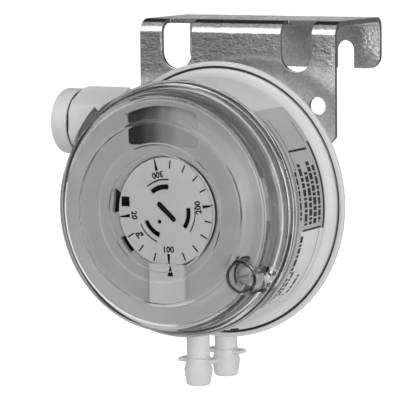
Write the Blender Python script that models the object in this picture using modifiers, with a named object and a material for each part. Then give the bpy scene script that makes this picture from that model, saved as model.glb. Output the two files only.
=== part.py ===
"""Differential pressure switch on a folded wall bracket.

The origin is the middle of the bracket's rear face, where it meets the wall. +Z is up and
the switch looks along -Y. The round pieces are modelled in a frame of their own, set on the
bracket's front plate: X to the right, Y up and Z forward along the device axis.
"""

import math

import bmesh
import bpy
from mathutils import Matrix, Vector

# Clearances
SEAT_GAP = 0.0003
RUN_GAP = 0.0003

# Facets round a full turn
LARGE_STEPS = 32
MEDIUM_STEPS = 20
SMALL_STEPS = 16
SCREW_STEPS = 12
TINY_STEPS = 10
OUTLINE_ARC = math.radians(22.5)
PROFILE_ARC = math.radians(45)

# Folded sheet bracket
SHEET = 0.0015
BRACKET_WIDTH = 0.068
BRACKET_DEPTH = 0.0336
REAR_FLANGE_HEIGHT = 0.0162
BEND_RADIUS = 0.003
AXIS_BELOW_TOP = 0.0543
PLATE_BELOW_AXIS = 0.009
SHOULDER_BELOW_TOP = 0.0351
NECK_WIDTH = 0.052
PLATE_CORNER = 0.004
SHOULDER_CORNER = 0.0012
SLOT_SPACING = 0.0416
SLOT_WIDTH = 0.0106
SLOT_BELOW_TOP = 0.0154
SLOT_IN_TOP = 0.0056
EYE_SPACING = 0.0558
EYE_RADIUS = 0.00275
EYE_BELOW_TOP = 0.0256
KEY_SPACING = 0.0438
KEY_WIDTH = 0.0061
KEY_BELOW_TOP = 0.0075
FLANGE_CORNER = 0.004

# Bracket screws
BRACKET_SCREW_SPACING = 0.04
BRACKET_SCREW_RADIUS = 0.0016
BRACKET_SCREW_LENGTH = 0.0072
BRACKET_BOSS_RADIUS = 0.0038
PAN_HEAD_RADIUS = 0.0032
PAN_HEAD_HEIGHT = 0.0022
SCREW_SLOT = 0.0008

# Setting dial
DIAL_RADIUS = 0.016
DIAL_THICKNESS = 0.0014
DIAL_HUB_WALL = 0.0012
DRIVER_SLOT_LENGTH = 0.0079
DRIVER_SLOT_WIDTH = 0.0014
DRIVER_SLOT_DEPTH = 0.001
DRIVER_SLOT_ANGLE = math.radians(-41.4)
TONGUE_ANGLES = [math.radians(107.5), math.radians(-12.5), math.radians(227.5)]
TONGUE_SPAN = math.radians(46)
TONGUE_GAP_WIDTH = 0.001
TONGUE_WIDTH = 0.0015
TONGUE_OUTER_GAP = 0.0004

# Dial carrier
CARRIER_LAND = 0.016
CARRIER_WALL = 0.0014
CARRIER_SKIRT = 0.0098
CARRIER_TO_DRUM = 0.0034
DIAL_RECESS = 0.0008
WELL_GAP = 0.0004
COLLAR_DEPTH = 0.006
WINDOW_LEFT = -0.0147
WINDOW_RIGHT = 0.0105
WINDOW_FROM_WELL = 0.0032
WINDOW_CORNER = 0.001
NOTCH_FROM_DIAL = [(0.0003, 0.0048), (-0.0019, 0.0066), (-0.0027, -0.0016), (-0.0001, -0.0006)]
ARC_WINDOW_START = math.radians(208)
ARC_WINDOW_END = math.radians(226)
ARC_WINDOW_WIDTH = 0.0018
INDEX_LEFT = -0.0055
INDEX_RIGHT = 0.0063
INDEX_OVERLAP = 0.0007
INDEX_FROM_EDGE = 0.005
INDEX_THICKNESS = 0.0007

# Housings
DRUM_WALL = 0.002
DRUM_DEPTH = 0.0249
RIM_OVER_DRUM = 0.0046
RIM_WALL = 0.00165
RIM_THICKNESS = 0.0016
NECK_BEHIND_RIM = 0.003
BACK_TAPER = 0.003
LOWER_DEPTH = 0.0104
LOWER_FLOOR = 0.002
STOP_RADIUS = 0.004
FLARE_RADIUS = 0.0028
FLANGE_THICKNESS = 0.0018
BULKHEAD_AHEAD = 0.0036
BULKHEAD_WALL = 0.0018
TURRET_BORE = 0.010
TURRET_WALL = 0.002
TURRET_AHEAD = 0.0044
TURRET_CAP = 0.002
KEY_RIB_DEPTH = 0.0018
KEY_RIB_WIDTH = 0.002
DUCT_RADIUS = 0.0032

# Hose nipples
NIPPLE_NECK_RADIUS = 0.0035
NIPPLE_BORE = 0.0014
NIPPLE_BELOW_RIM = 0.0049
NIPPLE_COLLAR = 0.0012
NIPPLE_EAR_REACH = 0.006
NIPPLE_EAR_DEPTH = 0.0044
NIPPLE_BARB_RADIUS = 0.00435
NIPPLE_BARB_LENGTH = 0.0077
NIPPLE_TIP_RADIUS = 0.0036
FRONT_PORT_FROM_FACE = 0.0097
REAR_PORT_FROM_JOINT = 0.0025

# Diaphragm and its plate
BEAD_SEAT = 0.00695
BEAD_WIDTH = 0.0025
BEAD_HEIGHT = 0.0012
MEMBRANE = 0.0006
ROLL_WIDTH = 0.0068
ROLL_HEIGHT = 0.0012
ROLL_POINTS = 5
PLATE_IN_ROLL = 0.0008
PLATE_THICKNESS = 0.001
PLATE_TRAVEL = 0.001
STEM_RADIUS = 0.0013
STEM_FROM_TURRET = 0.004

# Setting spring, seat and spindle
THREAD_RADIUS = 0.0022
SPRING_RADIUS = 0.006
SPRING_WIRE = 0.00045
SPRING_TURNS = 6.5
SPRING_POINTS = 8
SEAT_FROM_FACE = 0.0092
SEAT_THICKNESS = 0.0025
SEAT_HUB_WALL = 0.0019
SEAT_HUB_FRONT = 0.001
SEAT_HUB_BACK = 0.0016
SPINDLE_PAST_SEAT = 0.0045
JOURNAL_RADIUS = 0.0026
COLLAR_WIDTH = 0.001
COLLAR_THICKNESS = 0.0008
SPINDLE_HEAD_RADIUS = 0.0052
SPINDLE_HEAD = 0.0019
RING_SECTION = 0.0005

# Microswitch, its lever and the lever's pin
SWITCH_WIDTH = 0.0064
SWITCH_LENGTH = 0.02
SWITCH_HEIGHT = 0.0109
SWITCH_EDGE = 0.0004
PLUNGER_RADIUS = 0.00085
PLUNGER_SHOWN = 0.0008
PLUNGER_LENGTH = 0.0022
PIVOT_FROM_SWITCH = 0.0034
PIVOT_RADIUS = 0.0007
BARREL_WALL = 0.0006
LEVER_LEAF = 0.0006
LEVER_WIDTH = 0.005
LEVER_TIP_PAST_STEM = 0.0012
EAR_WIDTH = 0.0032
EAR_THICKNESS = 0.0016
EAR_BELOW_PIVOT = 0.0015
CHEEK_THICKNESS = 0.0012
CHEEK_DEPTH = 0.0038

# Terminal block, terminals, their screws and the leads
TERMINAL_PITCH = 0.0075
TERMINAL_MIDDLE = -0.0021
BLOCK_TO_BORE = 0.0038
BLOCK_DEPTH = 0.0084
BLOCK_MARGIN = 0.0039
BLOCK_FROM_FACE = 0.0013
POCKET_DEPTH = 0.0045
TERMINAL_WIDTH = 0.005
TERMINAL_LENGTH = 0.0054
TERMINAL_HEIGHT = 0.0036
WIRE_HOLE = 0.0013
TERMINAL_SCREW_RADIUS = 0.0012
TERMINAL_HEAD_RADIUS = 0.0021
TERMINAL_HEAD = 0.0013
LEAD_RADIUS = 0.0004
LEAD_PITCH = 0.0012
LEAD_RUN = 0.0061
LEAD_SLANT = 0.0025
LEAD_BEND = 0.0015

# Cover
COVER_LIP = 0.0007
COVER_RIM = 0.0018
COVER_STEP_IN = 0.0013
COVER_STEP_AHEAD = 0.0055
COVER_SHOULDER_IN = 0.0015
COVER_SHOULDER_AHEAD = 0.0109
COVER_EDGE_IN = 0.001
COVER_EDGE_AHEAD = 0.012
COVER_FACE_AHEAD = 0.0133
COVER_WALL = 0.0016
OUTER_BEAD_IN = 0.0077
OUTER_BEAD_AHEAD = 0.0143
INNER_BEAD_IN = 0.0065
INNER_BEAD_AHEAD = 0.0137
BEAD_HALF_WIDTH = 0.0006
BEAD_SIDE = 0.0005
GASKET_IN = 0.001
GASKET_WIDTH = 0.0007
GASKET_HEIGHT = 0.0009
GASKET_GAP = 0.0001

# Cover screw and its well
COVER_SCREW_INSET = 0.00382
COVER_SCREW_ANGLE = math.radians(-32.75)
COVER_SCREW_RADIUS = 0.00155
COVER_SCREW_LENGTH = 0.0131
COVER_WELL_RADIUS = 0.0039
COVER_WELL_WALL = 0.0011
COVER_WELL_AHEAD = 0.0078
COVER_WELL_THICKNESS = 0.0016
COVER_BOSS_AHEAD = 0.0126
COVER_POST_RADIUS = 0.004

# Cable gland
GLAND_BELOW_CROWN = 0.0141
GLAND_FROM_FACE = 0.0124
GLAND_FLATS = 0.0212
GLAND_BODY_LENGTH = 0.01205
GLAND_CHAMFER = 0.0009
GLAND_SPIGOT_RADIUS = 0.0062
GLAND_SPIGOT_SHORT = 0.0004
GLAND_BORE = 0.005
GLAND_SLEEVE_WALL = 0.0014
GLAND_SLEEVE_LENGTH = 0.004
GLAND_NUT_WALL = 0.002
GLAND_NUT_LENGTH = 0.0061
GLAND_NUT_GAP = 0.0004
GLAND_NUT_ROUND = 0.0022
GLAND_MOUTH = 0.0042
GLAND_SEAL_WALL = 0.0014
GLAND_SEAL_SUNK = 0.001
GLAND_WASHER = 0.0006

# Rating label
LABEL_START = math.radians(-48.9)
LABEL_END = math.radians(50.8)
LABEL_FROM_FLARE = 0.0005
LABEL_FROM_FACE = 0.0018
LABEL_THICKNESS = 0.00015
LABEL_STEP = math.radians(5)

# Radii that follow from the dial outward
WELL_RADIUS = DIAL_RADIUS + WELL_GAP
WELL_OUTER = WELL_RADIUS + CARRIER_WALL
CARRIER_RADIUS = WELL_RADIUS + CARRIER_LAND
DRUM_BORE = CARRIER_RADIUS + CARRIER_TO_DRUM
DRUM_RADIUS = DRUM_BORE + DRUM_WALL
RIM_RADIUS = DRUM_RADIUS + RIM_OVER_DRUM
RIM_INNER = RIM_RADIUS - RIM_WALL
UPPER_FLANGE_RADIUS = RIM_INNER - SEAT_GAP
LOWER_NECK_RADIUS = RIM_RADIUS - NECK_BEHIND_RIM
LOWER_BACK_RADIUS = LOWER_NECK_RADIUS - BACK_TAPER
BEAD_INNER = RIM_INNER - BEAD_SEAT
BEAD_OUTER = BEAD_INNER + BEAD_WIDTH
LOWER_CHAMBER_RADIUS = BEAD_INNER - SEAT_GAP
ROLL_INNER = BEAD_INNER - ROLL_WIDTH
PLATE_RADIUS = ROLL_INNER - PLATE_IN_ROLL
TURRET_RADIUS = TURRET_BORE + TURRET_WALL
KEY_RIB_INNER = TURRET_BORE - KEY_RIB_DEPTH
STEM_REACH = TURRET_RADIUS + STEM_FROM_TURRET
SEAT_RADIUS = TURRET_BORE - SEAT_GAP - RUN_GAP / 3
SEAT_HUB_RADIUS = THREAD_RADIUS + RUN_GAP + SEAT_HUB_WALL
COLLAR_RADIUS = JOURNAL_RADIUS + COLLAR_WIDTH
DIAL_HUB_INNER = SPINDLE_HEAD_RADIUS + SEAT_GAP
DIAL_HUB_RADIUS = DIAL_HUB_INNER + DIAL_HUB_WALL
TONGUE_GAP_INNER = DIAL_HUB_RADIUS + RUN_GAP / 1.5
SWITCH_CENTRE = WELL_OUTER + WELL_GAP + SWITCH_WIDTH / 2
PIVOT_REACH = SWITCH_CENTRE + SWITCH_WIDTH / 2 + PIVOT_FROM_SWITCH
WINDOW_LOW = WELL_RADIUS + WINDOW_FROM_WELL
BLOCK_HALF = TERMINAL_PITCH + BLOCK_MARGIN
BLOCK_LOW = math.sqrt((DRUM_BORE - BLOCK_TO_BORE) ** 2 - (BLOCK_HALF - TERMINAL_MIDDLE) ** 2) - BLOCK_DEPTH
LEAD_BEND_AT = BLOCK_LOW - LEAD_RUN
COVER_RADIUS = DRUM_RADIUS + COVER_LIP
COVER_STEP_RADIUS = COVER_RADIUS - COVER_STEP_IN
COVER_SHOULDER_RADIUS = COVER_STEP_RADIUS - COVER_SHOULDER_IN
COVER_EDGE_RADIUS = COVER_SHOULDER_RADIUS - COVER_EDGE_IN
OUTER_BEAD_RADIUS = COVER_EDGE_RADIUS - OUTER_BEAD_IN
INNER_BEAD_RADIUS = OUTER_BEAD_RADIUS - INNER_BEAD_IN
GASKET_RADIUS = DRUM_RADIUS - GASKET_IN
COVER_SCREW_REACH = DRUM_BORE - COVER_SCREW_INSET
COVER_SCREW_X = COVER_SCREW_REACH * math.cos(COVER_SCREW_ANGLE)
COVER_SCREW_Y = COVER_SCREW_REACH * math.sin(COVER_SCREW_ANGLE)
COVER_BOSS_RADIUS = COVER_WELL_RADIUS + COVER_WELL_WALL
SCREW_HOLE = COVER_SCREW_RADIUS + SEAT_GAP
WELL_SOCKET = COVER_POST_RADIUS + SEAT_GAP
NIPPLE_COLLAR_AT = RIM_RADIUS + NIPPLE_BELOW_RIM
NIPPLE_TIP_AT = NIPPLE_COLLAR_AT + NIPPLE_BARB_LENGTH

# Depths that follow, measured forward from the bracket's front plate
BRACKET_TOP = REAR_FLANGE_HEIGHT / 2
AXIS_Z = BRACKET_TOP - AXIS_BELOW_TOP
JOINT_PLANE = LOWER_DEPTH
RIM_FRONT = JOINT_PLANE + RIM_THICKNESS
UPPER_BACK = JOINT_PLANE + SEAT_GAP
UPPER_FLANGE_EDGE = JOINT_PLANE + FLANGE_THICKNESS
FLARE_FRONT = UPPER_FLANGE_EDGE + FLARE_RADIUS + SEAT_GAP
BULKHEAD_BACK = JOINT_PLANE + BULKHEAD_AHEAD
BULKHEAD_FRONT = BULKHEAD_BACK + BULKHEAD_WALL
DRUM_FRONT = JOINT_PLANE + DRUM_DEPTH
TURRET_FRONT = DRUM_FRONT + TURRET_AHEAD
TURRET_CEILING = TURRET_FRONT - TURRET_CAP
LOWER_PORT_DEPTH = JOINT_PLANE - REAR_PORT_FROM_JOINT
UPPER_PORT_DEPTH = DRUM_FRONT - FRONT_PORT_FROM_FACE
BEAD_FRONT = UPPER_BACK + BEAD_HEIGHT
MEMBRANE_BACK = UPPER_BACK
MEMBRANE_FRONT = MEMBRANE_BACK + MEMBRANE
STOP_FRONT = MEMBRANE_BACK - SEAT_GAP
PLATE_BACK = MEMBRANE_FRONT + SEAT_GAP
PLATE_FRONT = PLATE_BACK + PLATE_THICKNESS
SEAT_BACK = TURRET_FRONT - SEAT_FROM_FACE
SEAT_FRONT = SEAT_BACK + SEAT_THICKNESS
SPINDLE_BACK = SEAT_BACK - SPINDLE_PAST_SEAT
HEAD_BACK = TURRET_FRONT + SEAT_GAP
HEAD_FRONT = HEAD_BACK + SPINDLE_HEAD
DIAL_BACK = HEAD_FRONT + SEAT_GAP
DIAL_FRONT = DIAL_BACK + DIAL_THICKNESS
CARRIER_FRONT = DIAL_FRONT - DIAL_RECESS
CARRIER_BACK = CARRIER_FRONT - CARRIER_WALL
WELL_BACK = TURRET_FRONT + SEAT_GAP
WELL_FLOOR = WELL_BACK + CARRIER_WALL
SWITCH_FRONT = CARRIER_BACK - SEAT_GAP
SWITCH_BACK = SWITCH_FRONT - SWITCH_HEIGHT
PLUNGER_TIP = SWITCH_BACK - PLUNGER_SHOWN
LEVER_FRONT = PLUNGER_TIP - SEAT_GAP
PIVOT_DEPTH = LEVER_FRONT - LEVER_LEAF / 2
STEM_TIP = LEVER_FRONT - LEVER_LEAF - SEAT_GAP
BARREL_BORE = PIVOT_RADIUS + RUN_GAP
BARREL_RADIUS = BARREL_BORE + BARREL_WALL
EAR_INNER = LEVER_WIDTH / 2 + 2 * RUN_GAP
BLOCK_FRONT = DRUM_FRONT - BLOCK_FROM_FACE
TERMINAL_CENTRE_Y = BLOCK_LOW + BLOCK_DEPTH / 2
POCKET_FLOOR = BLOCK_FRONT - POCKET_DEPTH
TERMINAL_BACK = POCKET_FLOOR + SEAT_GAP
TERMINAL_FRONT = TERMINAL_BACK + TERMINAL_HEIGHT
COVER_BACK = DRUM_FRONT + SEAT_GAP
COVER_STEP_AT = DRUM_FRONT + COVER_STEP_AHEAD
COVER_SHOULDER_AT = DRUM_FRONT + COVER_SHOULDER_AHEAD
COVER_EDGE_AT = DRUM_FRONT + COVER_EDGE_AHEAD
COVER_FACE = DRUM_FRONT + COVER_FACE_AHEAD
OUTER_BEAD_AT = DRUM_FRONT + OUTER_BEAD_AHEAD
INNER_BEAD_AT = DRUM_FRONT + INNER_BEAD_AHEAD
COVER_BOSS_FRONT = DRUM_FRONT + COVER_BOSS_AHEAD
COVER_WELL_FLOOR = DRUM_FRONT + COVER_WELL_AHEAD
SOCKET_FRONT = COVER_WELL_FLOOR - COVER_WELL_THICKNESS
COVER_SCREW_BACK = COVER_WELL_FLOOR - COVER_SCREW_LENGTH
LABEL_BACK = FLARE_FRONT + LABEL_FROM_FLARE
LABEL_FRONT = DRUM_FRONT - LABEL_FROM_FACE

# Places along the gland, measured outward from the device axis
GLAND_HEIGHT = DRUM_RADIUS - GLAND_BELOW_CROWN
GLAND_DEPTH = DRUM_FRONT - GLAND_FROM_FACE
GLAND_SEAT = math.sqrt(DRUM_RADIUS ** 2 - GLAND_HEIGHT ** 2)
GLAND_SPIGOT_END = math.sqrt(DRUM_BORE ** 2 - GLAND_HEIGHT ** 2) + GLAND_SPIGOT_SHORT
GLAND_BODY_END = GLAND_SEAT + GLAND_BODY_LENGTH
GLAND_SLEEVE_END = GLAND_BODY_END + GLAND_SLEEVE_LENGTH
GLAND_SLEEVE_RADIUS = GLAND_BORE + GLAND_SEAL_WALL + GLAND_SLEEVE_WALL
GLAND_SEAL_START = GLAND_BODY_END - GLAND_SEAL_SUNK
GLAND_NUT_RADIUS = GLAND_SLEEVE_RADIUS + SEAT_GAP + GLAND_NUT_WALL
GLAND_NUT_START = GLAND_BODY_END + GLAND_NUT_GAP
GLAND_NUT_END = GLAND_NUT_START + GLAND_NUT_LENGTH

PLASTIC_PALE = (0.62, 0.62, 0.61, 1)
PLASTIC_LIGHT = (0.5, 0.5, 0.49, 1)
PLASTIC_DARK = (0.03, 0.03, 0.03, 1)
CLEAR = (0.55, 0.56, 0.56, 0.35)
ZINC = (0.42, 0.43, 0.44, 1)
STEEL = (0.5, 0.5, 0.5, 1)
BRASS = (0.55, 0.43, 0.2, 1)
RUBBER = (0.05, 0.05, 0.05, 1)
LABEL_GREY = (0.36, 0.36, 0.36, 1)


def clear_scene():
    for old in list(bpy.data.objects):
        bpy.data.objects.remove(old, do_unlink=True)


def new_collection(name):
    collection = bpy.data.collections.new(name)
    bpy.context.scene.collection.children.link(collection)
    return collection


def new_frame(name, location, rotation=(0, 0, 0), parent=None):
    frame = bpy.data.objects.new(name, None)
    frame.location = location
    frame.rotation_euler = rotation
    frame.parent = parent
    bpy.context.scene.collection.objects.link(frame)
    return frame


def material(name, colour, roughness, metallic=0.0):
    found = bpy.data.materials.get(name)
    if found:
        return found
    made = bpy.data.materials.new(name)
    made.use_nodes = True
    shader = made.node_tree.nodes["Principled BSDF"]
    shader.inputs["Base Color"].default_value = colour
    shader.inputs["Roughness"].default_value = roughness
    shader.inputs["Metallic"].default_value = metallic
    return made


def place(name, data, parent, location=(0, 0, 0), rotation=(0, 0, 0)):
    piece = bpy.data.objects.new(name, data)
    piece.parent = parent
    piece.location = location
    piece.rotation_euler = rotation
    parts.objects.link(piece)
    return piece


def finish(piece, colour, roughness, metallic=0.0):
    piece.data.materials.append(material(piece.name, colour, roughness, metallic))
    return piece


def as_cutter(tool):
    parts.objects.unlink(tool)
    cutters.objects.link(tool)
    tool.hide_render = True
    tool.display_type = "WIRE"
    return tool


def combine(piece, tool, operation):
    step = piece.modifiers.new(tool.name, "BOOLEAN")
    step.object = as_cutter(tool)
    step.operation = operation
    step.solver = "EXACT"


def cut(piece, *tools):
    for tool in tools:
        combine(piece, tool, "DIFFERENCE")


def join(piece, *tools):
    for tool in tools:
        combine(piece, tool, "UNION")


def arc_points(centre_x, centre_y, radius, start, end, step=OUTLINE_ARC):
    count = max(2, math.ceil(abs(end - start) / step - 0.01))
    turns = [start + (end - start) * i / count for i in range(count + 1)]
    return [(centre_x + radius * math.cos(t), centre_y + radius * math.sin(t)) for t in turns]


def rounded(corners, closed=True):
    """Outline through (x, y) or (x, y, radius) corners, with each radius as an arc."""
    outline = []
    count = len(corners)
    for i, corner in enumerate(corners):
        here = Vector(corner[:2])
        radius = corner[2] if len(corner) == 3 else 0
        if not radius or (not closed and i in (0, count - 1)):
            outline.append(tuple(here))
            continue
        before = (Vector(corners[i - 1][:2]) - here).normalized()
        after = (Vector(corners[(i + 1) % count][:2]) - here).normalized()
        half = before.angle(after) / 2
        centre = here + (before + after).normalized() * radius / math.sin(half)
        start = here + before * radius / math.tan(half) - centre
        end = here + after * radius / math.tan(half) - centre
        sweep = start.angle_signed(end)
        first = math.atan2(start.y, start.x)
        outline += arc_points(centre.x, centre.y, radius, first, first - sweep, PROFILE_ARC)
    return outline


def revolve(name, profile, steps, parent, location=(0, 0, 0), rotation=(0, 0, 0)):
    """Turn a (radius, height) profile about local Z; open profiles end on the axis."""
    mesh = bpy.data.meshes.new(name)
    count = len(profile)
    closed = profile[0][0] > 0 or profile[-1][0] > 0
    edges = [(i, (i + 1) % count) for i in range(count if closed else count - 1)]
    mesh.from_pydata([(r, 0, z) for r, z in profile], edges, [])
    piece = place(name, mesh, parent, location, rotation)
    screw = piece.modifiers.new("turned", "SCREW")
    screw.axis = "Z"
    screw.angle = math.tau
    screw.steps = steps
    screw.render_steps = steps
    screw.use_merge_vertices = True
    screw.merge_threshold = 0.00001
    return piece


def mesh_from(name, build, parent, location=(0, 0, 0), rotation=(0, 0, 0)):
    mesh = bpy.data.meshes.new(name)
    work = bmesh.new()
    build(work)
    work.to_mesh(mesh)
    work.free()
    return place(name, mesh, parent, location, rotation)


def box(name, low, high, parent):
    low = Vector(low)
    high = Vector(high)
    shape = Matrix.Translation((low + high) / 2) @ Matrix.Diagonal((*(high - low), 1))

    def build(work):
        bmesh.ops.create_cube(work, size=1, matrix=shape)

    return mesh_from(name, build, parent)


def rod(name, radius, start, end, steps, parent):
    """Cylinder from one point to another."""
    start = Vector(start)
    end = Vector(end)
    along = end - start
    turn = along.to_track_quat("Z", "Y").to_matrix().to_4x4()
    half_facet = Matrix.Rotation(math.pi / steps, 4, "Z")
    shape = Matrix.Translation((start + end) / 2) @ turn @ half_facet

    def build(work):
        bmesh.ops.create_cone(
            work, cap_ends=True, segments=steps, radius1=radius, radius2=radius,
            depth=along.length, matrix=shape)

    piece = mesh_from(name, build, parent)
    shade(piece)
    return piece


def shade(piece):
    piece.data.shade_smooth()
    piece.data.set_sharp_from_angle(angle=math.radians(35))


def curve_to_piece(name, curve, parent, location=(0, 0, 0)):
    guide = bpy.data.objects.new(name, curve)
    parts.objects.link(guide)
    bpy.context.view_layer.update()
    evaluated = guide.evaluated_get(bpy.context.evaluated_depsgraph_get())
    mesh = bpy.data.meshes.new_from_object(evaluated)
    bpy.data.objects.remove(guide)
    work = bmesh.new()
    work.from_mesh(mesh)
    bmesh.ops.remove_doubles(work, verts=work.verts, dist=0.000001)
    work.to_mesh(mesh)
    work.free()
    mesh.name = name
    return place(name, mesh, parent, location)


def prism(name, outline, low, high, parent):
    """Flat outline in local XY, as thick as from low to high along local Z."""
    curve = bpy.data.curves.new(name, "CURVE")
    curve.dimensions = "2D"
    curve.fill_mode = "BOTH"
    curve.extrude = (high - low) / 2
    spline = curve.splines.new("POLY")
    spline.points.add(len(outline) - 1)
    for point, (x, y) in zip(spline.points, outline):
        point.co = (x, y, 0, 1)
    spline.use_cyclic_u = True
    piece = curve_to_piece(name, curve, parent)
    piece.data.transform(Matrix.Translation((0, 0, (low + high) / 2)))
    return piece


def wire(name, points, radius, parent):
    curve = bpy.data.curves.new(name, "CURVE")
    curve.dimensions = "3D"
    curve.bevel_depth = radius
    curve.bevel_resolution = 1
    curve.use_fill_caps = True
    spline = curve.splines.new("POLY")
    spline.points.add(len(points) - 1)
    for point, co in zip(spline.points, points):
        point.co = (*co, 1)
    piece = curve_to_piece(name, curve, parent)
    shade(piece)
    return piece


def ring_sector(inner, outer, start, end):
    outer_arc = arc_points(0, 0, outer, start, end)
    inner_arc = arc_points(0, 0, inner, end, start)
    return outer_arc + inner_arc


def slotted_pan_screw(name, parent, location, rotation, head, head_height, shank, length, colour):
    """Screw whose head sits forward of local Z = 0 and whose shank points back."""
    profile = rounded([
        (0, head_height), (head, head_height, head_height * 0.45), (head, 0),
        (shank, 0), (shank, -length + shank), (0, -length)], closed=False)
    screw = revolve(name, profile, SCREW_STEPS, parent, location, rotation)
    half = SCREW_SLOT / 2
    slot = box(name + "_slot", (-head * 1.1, -half, head_height * 0.5),
               (head * 1.1, half, head_height * 1.2), parent)
    slot.location = location
    slot.rotation_euler = rotation
    cut(screw, slot)
    return finish(screw, colour, 0.3, 1.0)


def bracket_section():
    """Middle line of the folded sheet in Y and Z, from the rear flange's foot to the plate's foot."""
    half = SHEET / 2
    top = BRACKET_TOP - half
    bend = BEND_RADIUS - half
    front = half - BRACKET_DEPTH
    return rounded([
        (-half, BRACKET_TOP - REAR_FLANGE_HEIGHT), (-half, top, bend),
        (front, top, bend), (front, AXIS_Z - PLATE_BELOW_AXIS)], closed=False)


def open_slot(name, centre, width, round_end, low, high, parent):
    """Slot that is open at the top and round at the bottom, as a cutter."""
    half = width / 2
    above = SHEET * 2
    end = arc_points(centre, round_end + half, half, math.pi, math.tau)
    outline = [(centre - half, above)] + end + [(centre + half, above)]
    return prism(name, outline, low, high, parent)


def mounting_bracket():
    section = bracket_section()
    half = BRACKET_WIDTH / 2
    mesh = bpy.data.meshes.new("mounting_bracket")
    points = [(side * half, y, z) for y, z in section for side in (-1, 1)]
    strips = [(2 * i, 2 * i + 2, 2 * i + 3, 2 * i + 1) for i in range(len(section) - 1)]
    mesh.from_pydata(points, [], strips)
    bracket = place("mounting_bracket", mesh, None)
    skin = bracket.modifiers.new("sheet", "SOLIDIFY")
    skin.thickness = SHEET
    skin.offset = 0
    skin.use_even_offset = True

    plate_back = -SHEET * 1.5
    plate_front = SHEET
    for side, word in ((-1, "left"), (1, "right")):
        cut(bracket, open_slot(
            "hanging_slot_" + word, side * SLOT_SPACING / 2, SLOT_WIDTH, -SLOT_BELOW_TOP,
            -SLOT_IN_TOP, plate_front, plate_frame))
        cut(bracket, rod(
            "eye_" + word, EYE_RADIUS, (side * EYE_SPACING / 2, -EYE_BELOW_TOP, plate_back),
            (side * EYE_SPACING / 2, -EYE_BELOW_TOP, plate_front), SMALL_STEPS, plate_frame))
        cut(bracket, rod(
            "screw_hole_" + word, BRACKET_SCREW_RADIUS + SEAT_GAP,
            (side * BRACKET_SCREW_SPACING / 2, 0, plate_back),
            (side * BRACKET_SCREW_SPACING / 2, 0, plate_front), TINY_STEPS, device))
        cut(bracket, shoulder_cutter(side, word, plate_back, plate_front))
        cut(bracket, key_notch(side, word), flange_corner_cutter(side, word))
    return finish(bracket, ZINC, 0.35, 1.0)


def shoulder_cutter(side, word, low, high):
    """Takes the front plate in from its full width to its neck, below the shoulder."""
    edge = BRACKET_WIDTH / 2
    neck = NECK_WIDTH / 2
    foot = -AXIS_BELOW_TOP - PLATE_BELOW_AXIS
    clear = SHEET
    taper = edge - neck
    outline = rounded([
        (edge + clear, -SHOULDER_BELOW_TOP),
        (edge - SHOULDER_CORNER, -SHOULDER_BELOW_TOP),
        (neck, -SHOULDER_BELOW_TOP - taper),
        (neck, foot + PLATE_CORNER), (neck - PLATE_CORNER, foot),
        (neck - PLATE_CORNER, foot - clear), (edge + clear, foot - clear)])
    outline = [(side * x, y) for x, y in outline]
    return prism("shoulder_" + word, outline, low, high, plate_frame)


def key_notch(side, word):
    """Notch in the rear flange, open at the bottom and round at the top."""
    half = KEY_WIDTH / 2
    centre = side * KEY_SPACING / 2
    foot = -REAR_FLANGE_HEIGHT - SHEET
    crown = arc_points(centre, -KEY_BELOW_TOP - half, half, 0, math.pi)
    outline = [(centre + half, foot)] + crown + [(centre - half, foot)]
    back = -BRACKET_DEPTH - SHEET
    return prism("key_notch_" + word, outline, back, back + SHEET * 3, plate_frame)


def flange_corner_cutter(side, word):
    """Rounds a lower corner of the rear flange."""
    edge = BRACKET_WIDTH / 2
    foot = -REAR_FLANGE_HEIGHT
    clear = SHEET
    arc = arc_points(edge - FLANGE_CORNER, foot + FLANGE_CORNER, FLANGE_CORNER, 0, -math.pi / 2)
    outline = arc + [(edge - FLANGE_CORNER, foot - clear), (edge + clear, foot - clear),
                     (edge + clear, foot + FLANGE_CORNER)]
    outline = [(side * x, y) for x, y in outline]
    back = -BRACKET_DEPTH - SHEET
    return prism("flange_corner_" + word, outline, back, back + SHEET * 3, plate_frame)


def bracket_screws():
    for side, word in ((-1, "left"), (1, "right")):
        slotted_pan_screw(
            "bracket_screw_" + word, device,
            (side * BRACKET_SCREW_SPACING / 2, 0, -SHEET - SEAT_GAP), (math.pi, 0, 0),
            PAN_HEAD_RADIUS, PAN_HEAD_HEIGHT, BRACKET_SCREW_RADIUS, BRACKET_SCREW_LENGTH, STEEL)


def nipple(housing, word, depth, root):
    """Hose nipple that points down from a housing, with its ears, barb and bore."""
    collar = NIPPLE_COLLAR_AT
    barb = collar + NIPPLE_COLLAR
    profile = rounded([
        (0, NIPPLE_TIP_AT), (NIPPLE_TIP_RADIUS, NIPPLE_TIP_AT, 0.001),
        (NIPPLE_BARB_RADIUS, barb + 0.0016, 0.002), (NIPPLE_BARB_RADIUS - 0.0005, barb),
        (NIPPLE_BARB_RADIUS - 0.0003, collar - NIPPLE_COLLAR / 2),
        (NIPPLE_NECK_RADIUS, collar - NIPPLE_COLLAR / 2 - 0.0004),
        (NIPPLE_NECK_RADIUS, root), (0, root)], closed=False)
    down = (math.pi / 2, 0, 0)
    neck = revolve("nipple_" + word, profile, SMALL_STEPS, device, (0, 0, depth), down)
    ears = box(
        "ears_" + word,
        (-NIPPLE_EAR_REACH, -collar - NIPPLE_COLLAR / 2, depth - NIPPLE_EAR_DEPTH / 2),
        (NIPPLE_EAR_REACH, -collar + NIPPLE_COLLAR / 2, depth + NIPPLE_EAR_DEPTH / 2), device)
    join(housing, neck, ears)


def nipple_bore(word, depth, end):
    return rod("bore_" + word, NIPPLE_BORE, (0, -NIPPLE_TIP_AT - SHEET, depth), (0, -end, depth),
               TINY_STEPS, device)


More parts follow.
